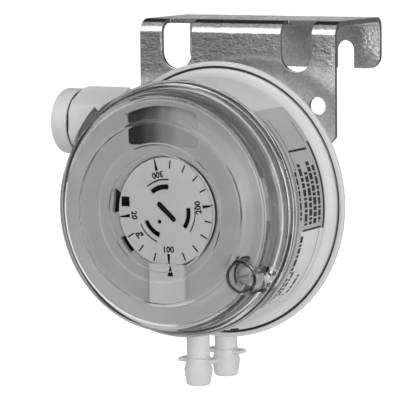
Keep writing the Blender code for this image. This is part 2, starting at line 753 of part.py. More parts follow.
def lower_housing():
    floor_front = SEAT_GAP + LOWER_FLOOR
    profile = rounded([
        (0, STOP_FRONT), (STOP_RADIUS, STOP_FRONT), (STOP_RADIUS + 0.0006, floor_front),
        (LOWER_CHAMBER_RADIUS, floor_front, 0.001), (LOWER_CHAMBER_RADIUS, JOINT_PLANE),
        (RIM_INNER, JOINT_PLANE), (RIM_INNER, RIM_FRONT),
        (RIM_RADIUS, RIM_FRONT, 0.0005), (RIM_RADIUS, JOINT_PLANE, 0.0004),
        (LOWER_NECK_RADIUS, JOINT_PLANE - 0.0008), (LOWER_BACK_RADIUS, SEAT_GAP, 0.0014),
        (0, SEAT_GAP)], closed=False)
    housing = revolve("lower_housing", profile, LARGE_STEPS, device)
    nipple(housing, "rear", LOWER_PORT_DEPTH, RIM_INNER + SEAT_GAP)
    root_radius = JOINT_PLANE - LOWER_PORT_DEPTH - SEAT_GAP
    join(housing, rod("port_root", root_radius, (0, -LOWER_CHAMBER_RADIUS - 0.001, LOWER_PORT_DEPTH),
                      (0, -RIM_RADIUS - SEAT_GAP, LOWER_PORT_DEPTH), SMALL_STEPS, device))
    for side, word in ((-1, "left"), (1, "right")):
        x = side * BRACKET_SCREW_SPACING / 2
        boss_front = BRACKET_SCREW_LENGTH + 0.001
        join(housing, rod("bracket_boss_" + word, BRACKET_BOSS_RADIUS, (x, 0, LOWER_FLOOR / 2),
                          (x, 0, boss_front), SMALL_STEPS, device))
        cut(housing, rod("bracket_pilot_" + word, BRACKET_SCREW_RADIUS + SEAT_GAP, (x, 0, -SHEET),
                         (x, 0, BRACKET_SCREW_LENGTH - SHEET + SEAT_GAP), TINY_STEPS, device))
    cut(housing, nipple_bore("rear", LOWER_PORT_DEPTH, LOWER_CHAMBER_RADIUS - 0.001))
    return finish(housing, PLASTIC_PALE, 0.4)


def upper_housing():
    groove_inner = GASKET_RADIUS - GASKET_WIDTH / 2 - GASKET_GAP
    groove_outer = GASKET_RADIUS + GASKET_WIDTH / 2 + GASKET_GAP
    groove_floor = DRUM_FRONT - GASKET_HEIGHT
    bearing = JOURNAL_RADIUS + RUN_GAP
    ring_seat = JOURNAL_RADIUS + RUN_GAP * 2 + RING_SECTION * 2
    ring_floor = TURRET_FRONT - RING_SECTION * 2 - 0.0004
    recess_outer = BEAD_OUTER + SEAT_GAP
    recess_front = BEAD_FRONT + SEAT_GAP
    profile = rounded([
        (bearing, ring_floor), (ring_seat, ring_floor), (ring_seat, TURRET_FRONT),
        (TURRET_RADIUS, TURRET_FRONT), (TURRET_RADIUS, BULKHEAD_FRONT, 0.0008),
        (DRUM_BORE, BULKHEAD_FRONT, 0.0008), (DRUM_BORE, DRUM_FRONT),
        (groove_inner, DRUM_FRONT), (groove_inner, groove_floor), (groove_outer, groove_floor),
        (groove_outer, DRUM_FRONT), (DRUM_RADIUS, DRUM_FRONT),
        (DRUM_RADIUS, UPPER_FLANGE_EDGE + 0.0006, FLARE_RADIUS),
        (UPPER_FLANGE_RADIUS, UPPER_FLANGE_EDGE - 0.0002),
        (UPPER_FLANGE_RADIUS, UPPER_BACK), (recess_outer, UPPER_BACK),
        (recess_outer, recess_front), (BEAD_INNER - 0.0008, recess_front),
        (BEAD_INNER - 0.0008, BULKHEAD_BACK), (TURRET_BORE, BULKHEAD_BACK),
        (TURRET_BORE, TURRET_CEILING), (bearing, TURRET_CEILING)])
    housing = revolve("upper_housing", profile, LARGE_STEPS, device)
    nipple(housing, "front", UPPER_PORT_DEPTH, DRUM_BORE + 0.001)
    join(housing, rod("duct", DUCT_RADIUS, (0, -DRUM_BORE - 0.0008, UPPER_PORT_DEPTH),
                      (0, -TURRET_BORE - 0.0008, UPPER_PORT_DEPTH), SMALL_STEPS, device))
    join(housing, rod("cover_post", COVER_POST_RADIUS,
                      (COVER_SCREW_X, COVER_SCREW_Y, BULKHEAD_FRONT - 0.0005),
                      (COVER_SCREW_X, COVER_SCREW_Y, SOCKET_FRONT - SEAT_GAP), SMALL_STEPS, device))
    for side, word in ((-1, "left"), (1, "right")):
        half = KEY_RIB_WIDTH / 2
        near, far = sorted((side * KEY_RIB_INNER, side * (TURRET_BORE + TURRET_WALL / 2)))
        join(housing, box("key_rib_" + word, (near, -half, BULKHEAD_BACK + 0.001),
                          (far, half, TURRET_CEILING + 0.0002), device))
        cut(housing, rod("stem_hole_" + word, STEM_RADIUS + RUN_GAP,
                         (side * STEM_REACH, 0, BULKHEAD_BACK - 0.001),
                         (side * STEM_REACH, 0, BULKHEAD_FRONT + 0.001), TINY_STEPS, device))
    cut(housing, rod("cover_pilot", SCREW_HOLE,
                     (COVER_SCREW_X, COVER_SCREW_Y, COVER_SCREW_BACK - SEAT_GAP),
                     (COVER_SCREW_X, COVER_SCREW_Y, SOCKET_FRONT), TINY_STEPS, device))
    cut(housing, rod("gland_hole", GLAND_SPIGOT_RADIUS + SEAT_GAP, (0, 0, GLAND_SPIGOT_END - 0.004),
                     (0, 0, DRUM_RADIUS), MEDIUM_STEPS, gland))
    cut(housing, nipple_bore("front", UPPER_PORT_DEPTH, TURRET_BORE - 0.001))
    return finish(housing, PLASTIC_PALE, 0.4)


def diaphragm():
    """Rubber disc with a rolled convolution and a bead that the housings clamp."""
    roll_width = BEAD_INNER - ROLL_INNER
    front = []
    for i in range(ROLL_POINTS + 1):
        share = i / ROLL_POINTS
        rise = ROLL_HEIGHT * math.sin(math.pi * share) ** 2
        front.append((ROLL_INNER + roll_width * share, MEMBRANE_FRONT + rise))
    back = [(r, z - MEMBRANE) for r, z in reversed(front)]
    profile = [(0, MEMBRANE_FRONT)] + front
    profile += [(BEAD_INNER, BEAD_FRONT), (BEAD_OUTER, BEAD_FRONT), (BEAD_OUTER, UPPER_BACK)]
    profile += back + [(0, MEMBRANE_BACK)]
    return finish(revolve("diaphragm", profile, MEDIUM_STEPS, device), RUBBER, 0.7)


def diaphragm_plate():
    """Stiff disc on the diaphragm, with a ring for the spring and a stem on either side."""
    ring_inner = SPRING_RADIUS + SPRING_WIRE + SEAT_GAP
    ring_outer = ring_inner + 0.0009
    ring_front = PLATE_FRONT + 0.0009
    profile = [
        (0, PLATE_FRONT), (ring_inner, PLATE_FRONT), (ring_inner, ring_front),
        (ring_outer, ring_front), (ring_outer, PLATE_FRONT), (PLATE_RADIUS, PLATE_FRONT),
        (PLATE_RADIUS, PLATE_BACK), (0, PLATE_BACK)]
    plate = revolve("diaphragm_plate", profile, MEDIUM_STEPS, device)
    for side, word in ((-1, "left"), (1, "right")):
        join(plate, rod("stem_" + word, STEM_RADIUS, (side * STEM_REACH, 0, PLATE_BACK + 0.0003),
                        (side * STEM_REACH, 0, STEM_TIP), TINY_STEPS, device))
    return finish(plate, STEEL, 0.4, 1.0)


def setting_spring():
    low = PLATE_FRONT + SEAT_GAP + SPRING_WIRE
    high = SEAT_BACK - SEAT_GAP - SPRING_WIRE
    count = int(SPRING_TURNS * SPRING_POINTS)
    points = []
    for i in range(count + 1):
        share = i / count
        turn = math.tau * SPRING_TURNS * share
        height = low + (high - low) * share
        points.append((SPRING_RADIUS * math.cos(turn), SPRING_RADIUS * math.sin(turn), height))
    return finish(wire("setting_spring", points, SPRING_WIRE, device), STEEL, 0.35, 1.0)


def spring_seat():
    bore = THREAD_RADIUS + RUN_GAP
    profile = [
        (bore, SEAT_FRONT + SEAT_HUB_FRONT), (SEAT_HUB_RADIUS, SEAT_FRONT + SEAT_HUB_FRONT),
        (SEAT_HUB_RADIUS, SEAT_FRONT), (SEAT_RADIUS, SEAT_FRONT), (SEAT_RADIUS, SEAT_BACK),
        (SEAT_HUB_RADIUS, SEAT_BACK), (SEAT_HUB_RADIUS, SEAT_BACK - SEAT_HUB_BACK),
        (bore, SEAT_BACK - SEAT_HUB_BACK)]
    seat = revolve("spring_seat", profile, MEDIUM_STEPS, device)
    half = KEY_RIB_WIDTH / 2 + RUN_GAP
    for side, word in ((-1, "left"), (1, "right")):
        near, far = sorted((side * (KEY_RIB_INNER - RUN_GAP), side * SEAT_RADIUS * 1.2))
        cut(seat, box("seat_key_" + word, (near, -half, SEAT_BACK - 0.001),
                      (far, half, SEAT_FRONT + 0.001), device))
    return finish(seat, PLASTIC_LIGHT, 0.45)


def driver_slot(name, low, high):
    """Screwdriver slot across the middle of the dial, as a cutter."""
    half = DRIVER_SLOT_WIDTH / 2
    reach = DRIVER_SLOT_LENGTH / 2 - half
    right = arc_points(reach, 0, half, -math.pi / 2, math.pi / 2)
    left = arc_points(-reach, 0, half, math.pi / 2, 3 * math.pi / 2)
    slot = prism(name, right + left, low, high, device)
    slot.rotation_euler = (0, 0, DRIVER_SLOT_ANGLE)
    return slot


def setting_spindle():
    collar_front = TURRET_CEILING - SEAT_GAP
    collar_back = collar_front - COLLAR_THICKNESS
    profile = [
        (0, HEAD_FRONT), (SPINDLE_HEAD_RADIUS, HEAD_FRONT), (SPINDLE_HEAD_RADIUS, HEAD_BACK),
        (JOURNAL_RADIUS, HEAD_BACK), (JOURNAL_RADIUS, collar_front), (COLLAR_RADIUS, collar_front),
        (COLLAR_RADIUS, collar_back), (THREAD_RADIUS, collar_back), (THREAD_RADIUS, SPINDLE_BACK),
        (0, SPINDLE_BACK)]
    spindle = revolve("setting_spindle", profile, MEDIUM_STEPS, device)
    cut(spindle, driver_slot("spindle_slot", HEAD_FRONT - DRIVER_SLOT_DEPTH, HEAD_FRONT + 0.001))
    return finish(spindle, PLASTIC_LIGHT, 0.4)


def spindle_ring():
    """O-ring round the spindle's journal."""
    middle = TURRET_FRONT - RING_SECTION - 0.0001
    radius = JOURNAL_RADIUS + RUN_GAP + RING_SECTION
    profile = [(radius + RING_SECTION * math.cos(t), middle + RING_SECTION * math.sin(t))
               for t in (-math.tau * i / 8 for i in range(8))]
    return finish(revolve("spindle_ring", profile, SMALL_STEPS, device), RUBBER, 0.6)


def setting_dial():
    profile = rounded([
        (0, DIAL_FRONT), (DIAL_RADIUS, DIAL_FRONT, 0.0003), (DIAL_RADIUS, DIAL_BACK),
        (DIAL_HUB_RADIUS, DIAL_BACK), (DIAL_HUB_RADIUS, HEAD_BACK + 0.0002),
        (DIAL_HUB_INNER, HEAD_BACK + 0.0002), (DIAL_HUB_INNER, DIAL_BACK), (0, DIAL_BACK)],
        closed=False)
    dial = revolve("setting_dial", profile, LARGE_STEPS, device)
    low = DIAL_BACK - 0.0005
    high = DIAL_FRONT + 0.0005
    cut(dial, driver_slot("dial_slot", low, high))
    for i, middle in enumerate(TONGUE_ANGLES):
        start = middle - TONGUE_SPAN / 2
        end = middle + TONGUE_SPAN / 2
        inner_end = TONGUE_GAP_INNER + TONGUE_GAP_WIDTH
        outer_start = inner_end + TONGUE_WIDTH
        outer_end = outer_start + TONGUE_OUTER_GAP
        cut(dial, prism(f"tongue_gap_{i}", ring_sector(TONGUE_GAP_INNER, inner_end, start, end),
                        low, high, device))
        cut(dial, prism(f"tongue_edge_{i}", ring_sector(outer_start, outer_end, start, end),
                        low, high, device))
    return finish(dial, PLASTIC_LIGHT, 0.45)


def dial_carrier():
    """Inner moulding: dial well, plate, skirt, turret collar, index block and switch supports."""
    hub_hole = DIAL_HUB_RADIUS + 2 * RUN_GAP
    collar_inner = TURRET_RADIUS + SEAT_GAP
    collar_outer = collar_inner + CARRIER_WALL
    profile = rounded([
        (hub_hole, WELL_FLOOR), (WELL_RADIUS, WELL_FLOOR), (WELL_RADIUS, CARRIER_FRONT),
        (CARRIER_RADIUS, CARRIER_FRONT, 0.0008), (CARRIER_RADIUS, CARRIER_FRONT - CARRIER_SKIRT),
        (CARRIER_RADIUS - CARRIER_WALL, CARRIER_FRONT - CARRIER_SKIRT),
        (CARRIER_RADIUS - CARRIER_WALL, CARRIER_BACK), (WELL_RADIUS + CARRIER_WALL, CARRIER_BACK),
        (WELL_RADIUS + CARRIER_WALL, WELL_BACK), (collar_outer, WELL_BACK),
        (collar_outer, WELL_BACK - COLLAR_DEPTH), (collar_inner, WELL_BACK - COLLAR_DEPTH),
        (collar_inner, WELL_BACK), (hub_hole, WELL_BACK)])
    carrier = revolve("dial_carrier", profile, LARGE_STEPS, device)
    join(carrier, index_block())
    join(carrier, index_lip())
    for side, word in ((-1, "low"), (1, "high")):
        join(carrier, lever_ear(side, word))
        cut(carrier, rod("pin_hole_" + word, PIVOT_RADIUS + SEAT_GAP,
                         (PIVOT_REACH, side * (EAR_INNER - 0.001), PIVOT_DEPTH),
                         (PIVOT_REACH, side * (EAR_INNER + EAR_THICKNESS + 0.001), PIVOT_DEPTH),
                         TINY_STEPS, device))
        join(carrier, switch_cheek(side, word))
    cut(carrier, terminal_window(), cover_screw_clearance(), edge_notch(), arc_window())
    return finish(carrier, PLASTIC_LIGHT, 0.45)


def index_block():
    return box("index_block", (INDEX_LEFT, INDEX_FROM_EDGE - CARRIER_RADIUS, CARRIER_FRONT - 0.0005),
               (INDEX_RIGHT, -WELL_RADIUS - 0.0002, DIAL_FRONT + SEAT_GAP + INDEX_THICKNESS), device)


def index_lip():
    return box("index_lip", (INDEX_LEFT, -WELL_RADIUS - 0.001, DIAL_FRONT + SEAT_GAP),
               (INDEX_RIGHT, INDEX_OVERLAP - DIAL_RADIUS, DIAL_FRONT + SEAT_GAP + INDEX_THICKNESS),
               device)


def lever_ear(side, word):
    near, far = sorted((side * EAR_INNER, side * (EAR_INNER + EAR_THICKNESS)))
    return box("lever_ear_" + word,
               (PIVOT_REACH - EAR_WIDTH / 2, near, PIVOT_DEPTH - EAR_BELOW_PIVOT),
               (PIVOT_REACH + EAR_WIDTH / 2, far, CARRIER_BACK + 0.0004), device)


def switch_cheek(side, word):
    start = SWITCH_LENGTH / 2 + SEAT_GAP
    near, far = sorted((side * start, side * (start + CHEEK_THICKNESS)))
    return box("switch_cheek_" + word,
               (SWITCH_CENTRE - SWITCH_WIDTH / 2, near, CARRIER_BACK - CHEEK_DEPTH),
               (SWITCH_CENTRE + SWITCH_WIDTH / 2, far, CARRIER_BACK + 0.0004), device)


def terminal_window():
    outline = rounded([
        (WINDOW_LEFT, WINDOW_LOW, WINDOW_CORNER), (WINDOW_RIGHT, WINDOW_LOW, WINDOW_CORNER),
        (WINDOW_RIGHT, CARRIER_RADIUS * 1.1), (WINDOW_LEFT, CARRIER_RADIUS * 1.1)])
    return prism("terminal_window", outline, CARRIER_FRONT - CARRIER_SKIRT - 0.001,
                 CARRIER_FRONT + 0.001, device)


def cover_screw_clearance():
    return rod("cover_screw_clearance", COVER_BOSS_RADIUS + 2 * SEAT_GAP,
               (COVER_SCREW_X, COVER_SCREW_Y, CARRIER_FRONT - CARRIER_SKIRT - 0.001),
               (COVER_SCREW_X, COVER_SCREW_Y, CARRIER_FRONT + 0.001), SMALL_STEPS, device)


def edge_notch():
    outline = [(x - DIAL_RADIUS, y) for x, y in NOTCH_FROM_DIAL]
    return prism("edge_notch", outline, WELL_BACK - 0.001, CARRIER_FRONT + 0.001, device)


def arc_window():
    outline = ring_sector(WELL_RADIUS - CARRIER_WALL / 2, WELL_RADIUS + ARC_WINDOW_WIDTH,
                          ARC_WINDOW_START, ARC_WINDOW_END)
    return prism("arc_window", outline, WELL_BACK - 0.001, CARRIER_FRONT + 0.001, device)


def switch_body():
    half_width = SWITCH_WIDTH / 2
    half_length = SWITCH_LENGTH / 2
    body = box("switch_body", (SWITCH_CENTRE - half_width, -half_length, SWITCH_BACK),
               (SWITCH_CENTRE + half_width, half_length, SWITCH_FRONT), device)
    edge = body.modifiers.new("edges", "BEVEL")
    edge.width = SWITCH_EDGE
    edge.segments = 1
    hole_depth = PLUNGER_LENGTH - PLUNGER_SHOWN + PLATE_TRAVEL
    cut(body, rod("plunger_hole", PLUNGER_RADIUS + RUN_GAP, (SWITCH_CENTRE, 0, SWITCH_BACK - 0.001),
                  (SWITCH_CENTRE, 0, SWITCH_BACK + hole_depth), TINY_STEPS, device))
    return finish(body, PLASTIC_DARK, 0.5)


def switch_plunger():
    plunger = rod("switch_plunger", PLUNGER_RADIUS, (0, 0, 0), (0, 0, PLUNGER_LENGTH), TINY_STEPS,
                  device)
    plunger.location = (SWITCH_CENTRE, 0, PLUNGER_TIP)
    return finish(plunger, PLASTIC_LIGHT, 0.4)


def switch_lever():
    """Leaf on a rolled barrel, with its origin on the pin."""
    tip = STEM_REACH - LEVER_TIP_PAST_STEM - PIVOT_REACH
    root = -BARREL_BORE - BARREL_WALL / 2
    half = LEVER_WIDTH / 2
    leaf_half = LEVER_LEAF / 2
    outline = rounded([
        (root, -half), (root, half), (tip * 0.55, half), (tip, half * 0.6, 0.0006),
        (tip, -half * 0.6, 0.0006), (tip * 0.55, -half)])
    lever = prism("switch_lever", outline, -leaf_half, leaf_half, device)
    lever.location = (PIVOT_REACH, 0, PIVOT_DEPTH)
    barrel = rod("barrel", BARREL_RADIUS, (PIVOT_REACH, -half, PIVOT_DEPTH),
                 (PIVOT_REACH, half, PIVOT_DEPTH), TINY_STEPS, device)
    join(lever, barrel)
    cut(lever, rod("barrel_bore", BARREL_BORE, (PIVOT_REACH, -half * 1.2, PIVOT_DEPTH),
                   (PIVOT_REACH, half * 1.2, PIVOT_DEPTH), TINY_STEPS, device))
    return finish(lever, STEEL, 0.35, 1.0)


def lever_pin():
    reach = EAR_INNER + EAR_THICKNESS
    pin = rod("lever_pin", PIVOT_RADIUS, (PIVOT_REACH, -reach, PIVOT_DEPTH),
              (PIVOT_REACH, reach, PIVOT_DEPTH), TINY_STEPS, device)
    return finish(pin, STEEL, 0.3, 1.0)


def terminal_places():
    return [TERMINAL_MIDDLE + TERMINAL_PITCH * step for step in (-1, 0, 1)]


def terminal_block():
    places = terminal_places()
    block = box("terminal_block", (places[0] - BLOCK_MARGIN, BLOCK_LOW, BULKHEAD_FRONT + SEAT_GAP),
                (places[-1] + BLOCK_MARGIN, BLOCK_LOW + BLOCK_DEPTH, BLOCK_FRONT), device)
    for i, x in enumerate(places, 1):
        half_width = TERMINAL_WIDTH / 2 + SEAT_GAP
        half_length = TERMINAL_LENGTH / 2 + SEAT_GAP
        cut(block, box(f"pocket_{i}", (x - half_width, TERMINAL_CENTRE_Y - half_length, POCKET_FLOOR),
                       (x + half_width, TERMINAL_CENTRE_Y + half_length, BLOCK_FRONT + 0.001), device))
        cut(block, wire_hole(f"block_wire_hole_{i}", x, TERMINAL_CENTRE_Y, BLOCK_LOW + BLOCK_DEPTH))
    return finish(block, PLASTIC_LIGHT, 0.5)


def wire_hole(name, x, start, end):
    middle = (TERMINAL_BACK + TERMINAL_FRONT) / 2 - 0.0003
    return rod(name, WIRE_HOLE, (x, start, middle), (x, end + 0.001, middle), TINY_STEPS, device)


def terminals():
    for i, x in enumerate(terminal_places(), 1):
        half_width = TERMINAL_WIDTH / 2
        half_length = TERMINAL_LENGTH / 2
        terminal = box(f"terminal_{i}", (x - half_width, TERMINAL_CENTRE_Y - half_length, TERMINAL_BACK),
                       (x + half_width, TERMINAL_CENTRE_Y + half_length, TERMINAL_FRONT), device)
        hole_end = TERMINAL_CENTRE_Y + half_length
        cut(terminal, wire_hole(f"terminal_wire_hole_{i}", x, TERMINAL_CENTRE_Y - 0.0018, hole_end))
        cut(terminal, rod(f"terminal_thread_{i}", TERMINAL_SCREW_RADIUS + SEAT_GAP,
                          (x, TERMINAL_CENTRE_Y, TERMINAL_BACK + 0.001),
                          (x, TERMINAL_CENTRE_Y, TERMINAL_FRONT + 0.001), TINY_STEPS, device))
        finish(terminal, BRASS, 0.35, 1.0)
        slotted_pan_screw(
            f"terminal_screw_{i}", device, (x, TERMINAL_CENTRE_Y, TERMINAL_FRONT + SEAT_GAP),
            (0, 0, math.radians(20 * i)), TERMINAL_HEAD_RADIUS, TERMINAL_HEAD,
            TERMINAL_SCREW_RADIUS, TERMINAL_HEIGHT - 0.0012, ZINC)


def switch_leads():
    """Bare leads from the microswitch's end to the terminal block, one above the other."""
    start_y = SWITCH_LENGTH / 2 + SEAT_GAP + LEAD_RADIUS / 2
    end_y = BLOCK_LOW - SEAT_GAP
    for i, x in enumerate(terminal_places(), 1):
        depth = SWITCH_BACK + (i - 0.5) * LEAD_PITCH
        path = rounded([
            (SWITCH_CENTRE, start_y), (SWITCH_CENTRE, LEAD_BEND_AT, LEAD_BEND),
            (x, LEAD_BEND_AT + LEAD_SLANT, LEAD_BEND), (x, end_y)], closed=False)
        lead = wire(f"switch_lead_{i}", [(px, py, depth) for px, py in path], LEAD_RADIUS, device)
        finish(lead, BRASS, 0.35, 1.0)


def cover():
    """Clear moulding with a stepped face, a tapered skirt, a rim and a screw well."""
    bead = BEAD_HALF_WIDTH
    wall = COVER_WALL
    profile = rounded([
        (0, COVER_FACE), (INNER_BEAD_RADIUS - bead, COVER_FACE), (INNER_BEAD_RADIUS, INNER_BEAD_AT),
        (INNER_BEAD_RADIUS + bead, INNER_BEAD_AT - 0.0002),
        (OUTER_BEAD_RADIUS - bead, OUTER_BEAD_AT - BEAD_SIDE), (OUTER_BEAD_RADIUS, OUTER_BEAD_AT),
        (OUTER_BEAD_RADIUS + bead, OUTER_BEAD_AT - BEAD_SIDE),
        (COVER_EDGE_RADIUS, COVER_EDGE_AT, 0.0008), (COVER_SHOULDER_RADIUS, COVER_SHOULDER_AT),
        (COVER_SHOULDER_RADIUS + 0.0003, COVER_STEP_AT + 0.0008), (COVER_STEP_RADIUS, COVER_STEP_AT),
        (COVER_STEP_RADIUS + 0.0003, COVER_BACK + COVER_RIM + 0.0006),
        (COVER_RADIUS, COVER_BACK + COVER_RIM, 0.0003), (COVER_RADIUS, COVER_BACK),
        (DRUM_BORE + 0.0001, COVER_BACK), (COVER_STEP_RADIUS - wall, COVER_STEP_AT - wall),
        (COVER_SHOULDER_RADIUS - wall, COVER_STEP_AT),
        (COVER_SHOULDER_RADIUS - wall - 0.0003, COVER_SHOULDER_AT - wall * 0.6),
        (COVER_EDGE_RADIUS - wall, COVER_EDGE_AT - wall),
        (OUTER_BEAD_RADIUS, OUTER_BEAD_AT - BEAD_SIDE - wall), (INNER_BEAD_RADIUS, COVER_FACE - wall),
        (0, COVER_FACE - wall)], closed=False)
    piece = revolve("cover", profile, LARGE_STEPS, device)

    def along(name, radius, low, high, steps):
        return rod(name, radius, (COVER_SCREW_X, COVER_SCREW_Y, low),
                   (COVER_SCREW_X, COVER_SCREW_Y, high), steps, device)

    join(piece, along("cover_boss", COVER_BOSS_RADIUS, COVER_BACK + COVER_RIM * 0.7,
                      COVER_BOSS_FRONT, MEDIUM_STEPS))
    cut(piece, along("cover_well", COVER_WELL_RADIUS, COVER_WELL_FLOOR, OUTER_BEAD_AT + 0.001,
                     MEDIUM_STEPS))
    cut(piece, along("cover_socket", WELL_SOCKET, COVER_BACK - 0.001, SOCKET_FRONT, MEDIUM_STEPS))
    cut(piece, along("cover_screw_hole", SCREW_HOLE, SOCKET_FRONT - 0.001, COVER_WELL_FLOOR + 0.001,
                     TINY_STEPS))
    return finish(piece, CLEAR, 0.08)


def cover_gasket():
    inner = GASKET_RADIUS - GASKET_WIDTH / 2
    outer = GASKET_RADIUS + GASKET_WIDTH / 2
    back = DRUM_FRONT - GASKET_HEIGHT + GASKET_GAP
    front = COVER_BACK - GASKET_GAP
    profile = [(inner, front), (outer, front), (outer, back), (inner, back)]
    return finish(revolve("cover_gasket", profile, LARGE_STEPS, device), RUBBER, 0.7)


def cover_screw():
    seat = COVER_WELL_FLOOR + SEAT_GAP
    return slotted_pan_screw(
        "cover_screw", device, (COVER_SCREW_X, COVER_SCREW_Y, seat), (0, 0, math.radians(50)),
        PAN_HEAD_RADIUS, PAN_HEAD_HEIGHT, COVER_SCREW_RADIUS, seat - COVER_SCREW_BACK, STEEL)


def gland_saddle():
    """The drum, its flare and the rim with a gap round them, as a cutter."""
    return revolve("gland_saddle", [
        (0, COVER_BACK), (DRUM_RADIUS + SEAT_GAP, COVER_BACK),
        (DRUM_RADIUS + SEAT_GAP, FLARE_FRONT + SEAT_GAP),
        (RIM_RADIUS + SEAT_GAP, UPPER_FLANGE_EDGE + SEAT_GAP),
        (RIM_RADIUS + SEAT_GAP, LOWER_FLOOR), (0, LOWER_FLOOR)], LARGE_STEPS, device)


def gland_body():
    """Hexagon cut to the drum, with a spigot into the housing and a sleeve under the nut."""
    corner = GLAND_FLATS / math.sqrt(3)
    outline = [(corner * math.cos(t), corner * math.sin(t))
               for t in (math.pi / 2 + math.tau * i / 6 for i in range(6))]
    body = prism("gland_body", outline, GLAND_SPIGOT_END - 0.003, GLAND_BODY_END, gland)
    trim = revolve("gland_trim", [
        (0, GLAND_BODY_END + 0.001), (corner - GLAND_CHAMFER * 2, GLAND_BODY_END + 0.001),
        (corner - GLAND_CHAMFER, GLAND_BODY_END), (corner + 0.001, GLAND_BODY_END - 0.003),
        (corner + 0.001, GLAND_SPIGOT_END - 0.005), (0, GLAND_SPIGOT_END - 0.005)],
        MEDIUM_STEPS, gland)
    combine(body, trim, "INTERSECT")
    cut(body, gland_saddle())
    join(body, rod("gland_spigot", GLAND_SPIGOT_RADIUS, (0, 0, GLAND_SPIGOT_END),
                   (0, 0, GLAND_BODY_END - 0.001), MEDIUM_STEPS, gland))
    join(body, rod("gland_sleeve", GLAND_SLEEVE_RADIUS, (0, 0, GLAND_BODY_END - 0.001),
                   (0, 0, GLAND_SLEEVE_END), MEDIUM_STEPS, gland))
    cut(body, rod("gland_bore", GLAND_BORE, (0, 0, GLAND_SPIGOT_END - 0.001),
                  (0, 0, GLAND_SLEEVE_END + 0.001), SMALL_STEPS, gland))
    cut(body, rod("gland_seal_seat", GLAND_SLEEVE_RADIUS - GLAND_SLEEVE_WALL,
                  (0, 0, GLAND_SEAL_START - SEAT_GAP), (0, 0, GLAND_SLEEVE_END + 0.001),
                  MEDIUM_STEPS, gland))
    return finish(body, PLASTIC_PALE, 0.45)


def gland_nut():
    bore = GLAND_SLEEVE_RADIUS + SEAT_GAP
    shoulder = GLAND_SLEEVE_END + 3 * SEAT_GAP + GLAND_WASHER
    profile = rounded([
        (GLAND_MOUTH, GLAND_NUT_END), (GLAND_NUT_RADIUS, GLAND_NUT_END, GLAND_NUT_ROUND),
        (GLAND_NUT_RADIUS, GLAND_NUT_START, 0.0004), (bore, GLAND_NUT_START), (bore, shoulder),
        (GLAND_MOUTH, shoulder)])
    return finish(revolve("gland_nut", profile, MEDIUM_STEPS, gland), PLASTIC_PALE, 0.45)


def gland_seal():
    outer = GLAND_SLEEVE_RADIUS - GLAND_SLEEVE_WALL - SEAT_GAP
    profile = [(GLAND_MOUTH * 0.8, GLAND_SLEEVE_END), (outer, GLAND_SLEEVE_END),
               (outer, GLAND_SEAL_START), (GLAND_MOUTH * 0.8, GLAND_SEAL_START)]
    return finish(revolve("gland_seal", profile, SMALL_STEPS, gland), RUBBER, 0.6)


def gland_washer():
    back = GLAND_SLEEVE_END + SEAT_GAP
    profile = [(GLAND_MOUTH, back + GLAND_WASHER), (GLAND_SLEEVE_RADIUS, back + GLAND_WASHER),
               (GLAND_SLEEVE_RADIUS, back), (GLAND_MOUTH, back)]
    return finish(revolve("gland_washer", profile, MEDIUM_STEPS, gland), PLASTIC_LIGHT, 0.4)


def rating_label():
    inner = DRUM_RADIUS + SEAT_GAP
    outer = inner + LABEL_THICKNESS
    steps = math.ceil((LABEL_END - LABEL_START) / LABEL_STEP)
    turns = [LABEL_START + (LABEL_END - LABEL_START) * i / steps for i in range(steps + 1)]
    outline = [(outer * math.cos(t), outer * math.sin(t)) for t in turns]
    outline += [(inner * math.cos(t), inner * math.sin(t)) for t in reversed(turns)]
    label = prism("rating_label", outline, LABEL_BACK, LABEL_FRONT, device)
    return finish(label, LABEL_GREY, 0.5)


clear_scene()
parts = new_collection("differential_pressure_switch")
cutters = new_collection("cutters")
plate_frame = new_frame("plate_frame", (0, -BRACKET_DEPTH, BRACKET_TOP), (math.pi / 2, 0, 0))
device = new_frame("device", (0, -BRACKET_DEPTH, AXIS_Z), (math.pi / 2, 0, 0))
gland = new_frame("gland", (0, GLAND_HEIGHT, GLAND_DEPTH), (0, -math.pi / 2, 0), device)

mounting_bracket()
bracket_screws()
lower_housing()
upper_housing()
diaphragm()
diaphragm_plate()
setting_spring()
spring_seat()
setting_spindle()
spindle_ring()
setting_dial()
dial_carrier()
switch_body()
switch_plunger()
switch_lever()
lever_pin()
terminal_block()
terminals()
switch_leads()
cover()
cover_gasket()
cover_screw()
gland_body()
gland_nut()
gland_seal()
gland_washer()
rating_label()
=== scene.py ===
import math

import bmesh
import bpy
from mathutils import Matrix, Vector


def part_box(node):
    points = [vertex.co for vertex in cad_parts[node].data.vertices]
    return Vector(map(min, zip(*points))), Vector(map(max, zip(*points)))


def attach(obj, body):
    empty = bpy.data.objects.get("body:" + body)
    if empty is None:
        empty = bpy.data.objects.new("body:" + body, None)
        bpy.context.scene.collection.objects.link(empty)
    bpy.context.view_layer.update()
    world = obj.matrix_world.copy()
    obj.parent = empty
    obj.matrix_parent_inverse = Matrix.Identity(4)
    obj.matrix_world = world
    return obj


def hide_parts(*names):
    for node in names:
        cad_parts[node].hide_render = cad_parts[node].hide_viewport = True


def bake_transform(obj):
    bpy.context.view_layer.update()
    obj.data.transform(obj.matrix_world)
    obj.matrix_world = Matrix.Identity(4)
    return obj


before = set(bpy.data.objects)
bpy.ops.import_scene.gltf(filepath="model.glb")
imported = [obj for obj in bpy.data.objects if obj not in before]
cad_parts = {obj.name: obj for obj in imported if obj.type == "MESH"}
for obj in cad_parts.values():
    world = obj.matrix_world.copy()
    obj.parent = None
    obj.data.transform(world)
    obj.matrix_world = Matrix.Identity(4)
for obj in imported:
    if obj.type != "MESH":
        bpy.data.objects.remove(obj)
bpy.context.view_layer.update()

SCENE = bpy.context.scene
SCENE.view_settings.view_transform = "Standard"

